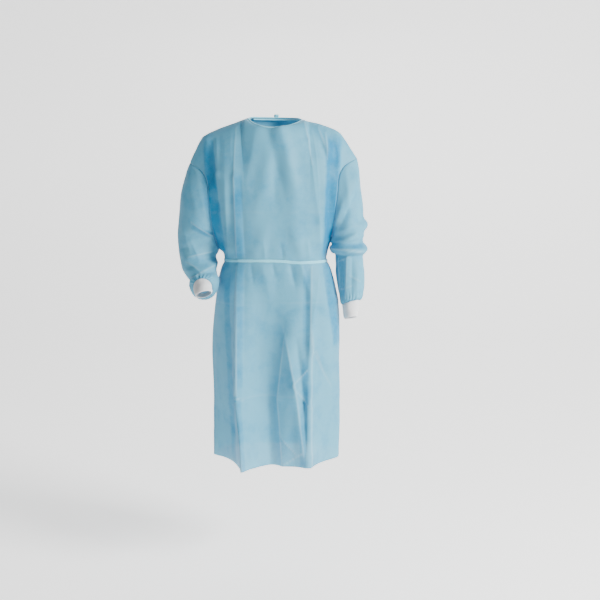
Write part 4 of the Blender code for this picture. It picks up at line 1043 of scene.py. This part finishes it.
neck_strip = add_bar("neck_binding_strip", loops, False, strip_look)
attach(neck_strip, "root")
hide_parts("neck_binding")

# ---- Belt ----
# A long strip of the nonwoven folded over itself to about 10 mm and drawn round the waist. It lies a
# little slack over the front, with a small step where the folded strip turns over.

STRIP = 0.0015         # thickness of the folded strip
BELT_HALF = 0.0043
BELT_CLEAR = 0.0009    # between the belt and the cloth
BELT_ROWS = (11, 12)   # the solid's levels that the belt covers
# x across the front, height above the solid's middle line
BELT_LINE = np.array((
    (-0.17, -0.0005), (-0.11, 0.001), (-0.05, 0.0022), (0.0, 0.0024), (0.035, 0.0012),
    (0.055, -0.0012), (0.08, -0.0022), (0.12, -0.0008), (0.17, 0.0008),
))


def round_body(front, left, right):
    """The columns of the front, the left back and the right back in one ring, clear of the lap."""
    parts = front, left[:, -2:2 * LAP + 1:-1], right[:, centre_column + LAP:0:-1]
    return np.concatenate([part.transpose(1, 0, 2) for part in parts])


def belt_place(column, ways, middle_rows):
    """Where the belt's middle line crosses a column of cloth, and the way out from it."""
    x, y = column[belt_row, 0], column[belt_row, 1]
    lift = np.interp(x, BELT_LINE[:, 0], BELT_LINE[:, 1]) if y < 0 else 0.001 * math.sin(x * 25)
    z = column[middle_rows, 2].sum() / 2 + lift
    order = np.argsort(column[:, 2])
    at = [np.interp(z, column[order, 2], column[order, axis]) for axis in range(2)]
    way = unit(np.array([np.interp(z, column[order, 2], ways[order, axis]) for axis in range(3)]))
    return np.array([*at, z]), unit(way * np.array([1.0, 1.0, 0.25]))


belt_row = int(np.argmin(np.abs(front_base[:, centre_column, 2] - BELT_Z)))
belt_path = [belt_place(column, ways, [row_index[row] for row in BELT_ROWS]) for column, ways in zip(
    round_body(front_grid, left_grid, right_grid), round_body(front_out, left_out, right_out))]
loops = []
for number, (place, way) in enumerate(belt_path):
    around = unit(belt_path[(number + 1) % len(belt_path)][0] - belt_path[number - 1][0])
    up = unit(np.cross(way, around))
    up = up if up[2] > 0 else -up
    half = BELT_HALF * (1 + 0.05 * math.sin(number * 0.21) + 0.04 * math.sin(number * 0.53))
    near, far = BELT_CLEAR, BELT_CLEAR + STRIP
    fold = 0.0002 * math.sin(number * 0.37)
    loops.append([
        place + way * near - up * half, place + way * (near + far) / 2 - up * (half + 0.0004),
        place + way * far - up * half * 0.92, place + way * (far + CROWN) - up * half * 0.35,
        place + way * (far - 0.0001 + fold), place + way * (far + CROWN) + up * half * 0.4,
        place + way * far + up * half * 0.92, place + way * (near + far) / 2 + up * (half + 0.0004),
        place + way * near + up * half, place + way * near,
    ])
belt = add_bar("belt_strip", loops, True, strip_look)
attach(belt, "root")
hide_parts("waist_belt")

# ---- Ties ----
# The belt and the neck tie are each knotted once at the back, and their ends hang down. A knot is the
# strip itself drawn round in an overhand turn; the ends are flat, with a lazy twist.

TIE_WIDTH = {"belt": 0.010, "neck": 0.008}
KNOT_STEPS, KNOT_SIDES = 72, 10
KNOT_FILL = (0.42, 0.40, 0.42)  # half the strip's thickness in a knot, as shares of the knot's
END_STEPS = 60
END_GAP = 0.0025       # least height between two points of an end's middle line
TWIST = 0.25


def add_knot_strip(name, node):
    """The strip through an overhand knot: a loop that crosses itself three times, pressed flat."""
    low, high = (np.array(corner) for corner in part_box(node))
    middle, half = (low + high) / 2, (high - low) / 2
    t = np.linspace(0, 2 * math.pi, KNOT_STEPS, endpoint=False)
    path = np.stack([np.sin(t) + 2 * np.sin(2 * t), -np.sin(3 * t), np.cos(t) - 2 * np.cos(2 * t)], -1)
    thick = np.array(KNOT_FILL) * half
    path = path / np.array([3.0, 1.0, 3.0]) * (half - thick)
    tangent = unit(np.roll(path, -1, axis=0) - np.roll(path, 1, axis=0))
    loops = []
    for point, way in zip(path, tangent):
        side = unit(np.cross(way, [0.0, 1.0, 0.0]))
        lift = np.cross(side, way)
        turn = np.linspace(0, 2 * math.pi, KNOT_SIDES, endpoint=False)
        loops.append([middle + point + side * thick[0] * math.cos(a) + lift * thick[1] * 0.9 * math.sin(a)
                      for a in turn])
    return add_bar(name, np.array(loops), True, strip_look)


def end_line(node):
    """The middle line of a hanging end's solid, from its knot down."""
    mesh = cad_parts[node].data
    corners = np.array([vertex.co for vertex in mesh.vertices])
    levels = np.unique(np.round(corners[:, 2], 4))[::-1]
    middle = np.array([corners[np.abs(corners[:, 2] - z) < 6e-4].mean(axis=0) for z in levels])
    keep = [0]
    for i in range(1, len(middle)):
        if middle[keep[-1], 2] - middle[i, 2] > END_GAP:
            keep.append(i)
    middle = middle[keep]
    low, high = corners.min(axis=0), corners.max(axis=0)
    middle[0, 2], middle[-1, 2] = high[2], low[2]
    keys = np.concatenate([[0], np.cumsum(np.linalg.norm(np.diff(middle, axis=0), axis=1))])
    return hermite(middle, keys, np.linspace(0, keys[-1], END_STEPS))


for word, held_by, flat in (("belt", belt, (0.95, 0.012)), ("neck", neck_strip, (0.60, 0.024))):
    knot = add_knot_strip(f"{word}_knot_tied", f"{word}_knot")
    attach(knot, "root")
    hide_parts(f"{word}_knot")
    for sign, side in ((-1, "right"), (1, "left")):
        node = f"{word}_end_{side}"
        line = end_line(node)
        loops = []
        for number, place in enumerate(line):
            t = number / (len(line) - 1)
            turn = TWIST * sign * math.sin(3 * t)
            across_way = np.array([math.cos(turn), math.sin(turn), 0.0])
            out_way = np.array([-math.sin(turn), math.cos(turn), 0.0])
            half = TIE_WIDTH[word] / 2 * (1 - 0.06 * math.sin(9 * t) ** 2)
            thin = STRIP / 2 * 0.75
            loops.append([
                place - across_way * half, place - across_way * half * 0.9 + out_way * thin,
                place - across_way * half * 0.3 + out_way * thin * 1.3, place + out_way * thin,
                place + across_way * half * 0.9 + out_way * thin, place + across_way * half,
                place + across_way * half * 0.9 - out_way * thin, place - out_way * thin,
                place - across_way * half * 0.9 - out_way * thin,
            ])
        end = add_bar(f"{node}_strip", np.array(loops), False, strip_look)
        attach(end, "root")
        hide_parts(node)

# ---- Studio ----
# A pale floor that curves up into a pale backdrop, a large soft lamp on the right in front of the gown,
# a weaker one on the left, and the camera at the photograph's place.

FLOOR_Z = -1.485
sweep = [(-6.0, 0.0), (1.6, 0.0), (2.3, 0.07), (2.9, 0.30), (3.3, 0.75), (3.5, 1.4), (3.55, 5.0)]
corners = [(x, y, FLOOR_Z + z) for y, z in sweep for x in (-7.0, 7.0)]
quads = [(2 * i, 2 * i + 1, 2 * i + 3, 2 * i + 2) for i in range(len(sweep) - 1)]
pale = bpy.data.materials.new("pale_paper")
pale.use_nodes = True
paper = pale.node_tree.nodes["Principled BSDF"].inputs
paper["Base Color"].default_value = (0.93, 0.93, 0.93, 1.0)
paper["Roughness"].default_value = 0.9
paper["Emission Color"].default_value = (1.0, 1.0, 1.0, 1.0)
paper["Emission Strength"].default_value = 0.95
backdrop = link_mesh("backdrop", corners, quads, pale)

for name, place, aim, size, power, tint in (
    ("key_lamp", (3.3, -1.9, 1.1), (0.0, 0.0, -0.5), 1.3, 400.0, (1.0, 0.99, 0.97)),
    ("fill_lamp", (-2.6, -2.6, 0.6), (0.0, 0.0, -0.6), 2.4, 6.0, (0.95, 0.98, 1.0)),
    ("back_lamp", (0.0, 2.6, 1.9), (0.0, 0.0, -0.4), 2.2, 30.0, (1.0, 1.0, 1.0)),
):
    lamp = bpy.data.lights.new(name, "AREA")
    lamp.size, lamp.energy, lamp.color = size, power, tint
    holder = bpy.data.objects.new(name, lamp)
    bpy.context.scene.collection.objects.link(holder)
    holder.location = place
    holder.rotation_euler = (Vector(aim) - Vector(place)).to_track_quat("-Z", "Y").to_euler()

world = bpy.data.worlds.new("studio")
bpy.context.scene.world = world
world.use_nodes = True
world.node_tree.nodes["Background"].inputs["Color"].default_value = (0.97, 0.985, 1.0, 1.0)
world.node_tree.nodes["Background"].inputs["Strength"].default_value = 0.20

FOCAL, SENSOR = 957.0, 600.0
camera_data = bpy.data.cameras.new("camera")
camera_data.sensor_width = 36.0
camera_data.lens = 36.0 * FOCAL / SENSOR
camera = bpy.data.objects.new("camera", camera_data)
bpy.context.scene.collection.objects.link(camera)
camera.location = (0.156, -3.11, -0.198)
camera.rotation_euler = Vector((-24 / FOCAL, 1.0, -120 / FOCAL)).to_track_quat("-Z", "Y").to_euler()
bpy.context.scene.camera = camera
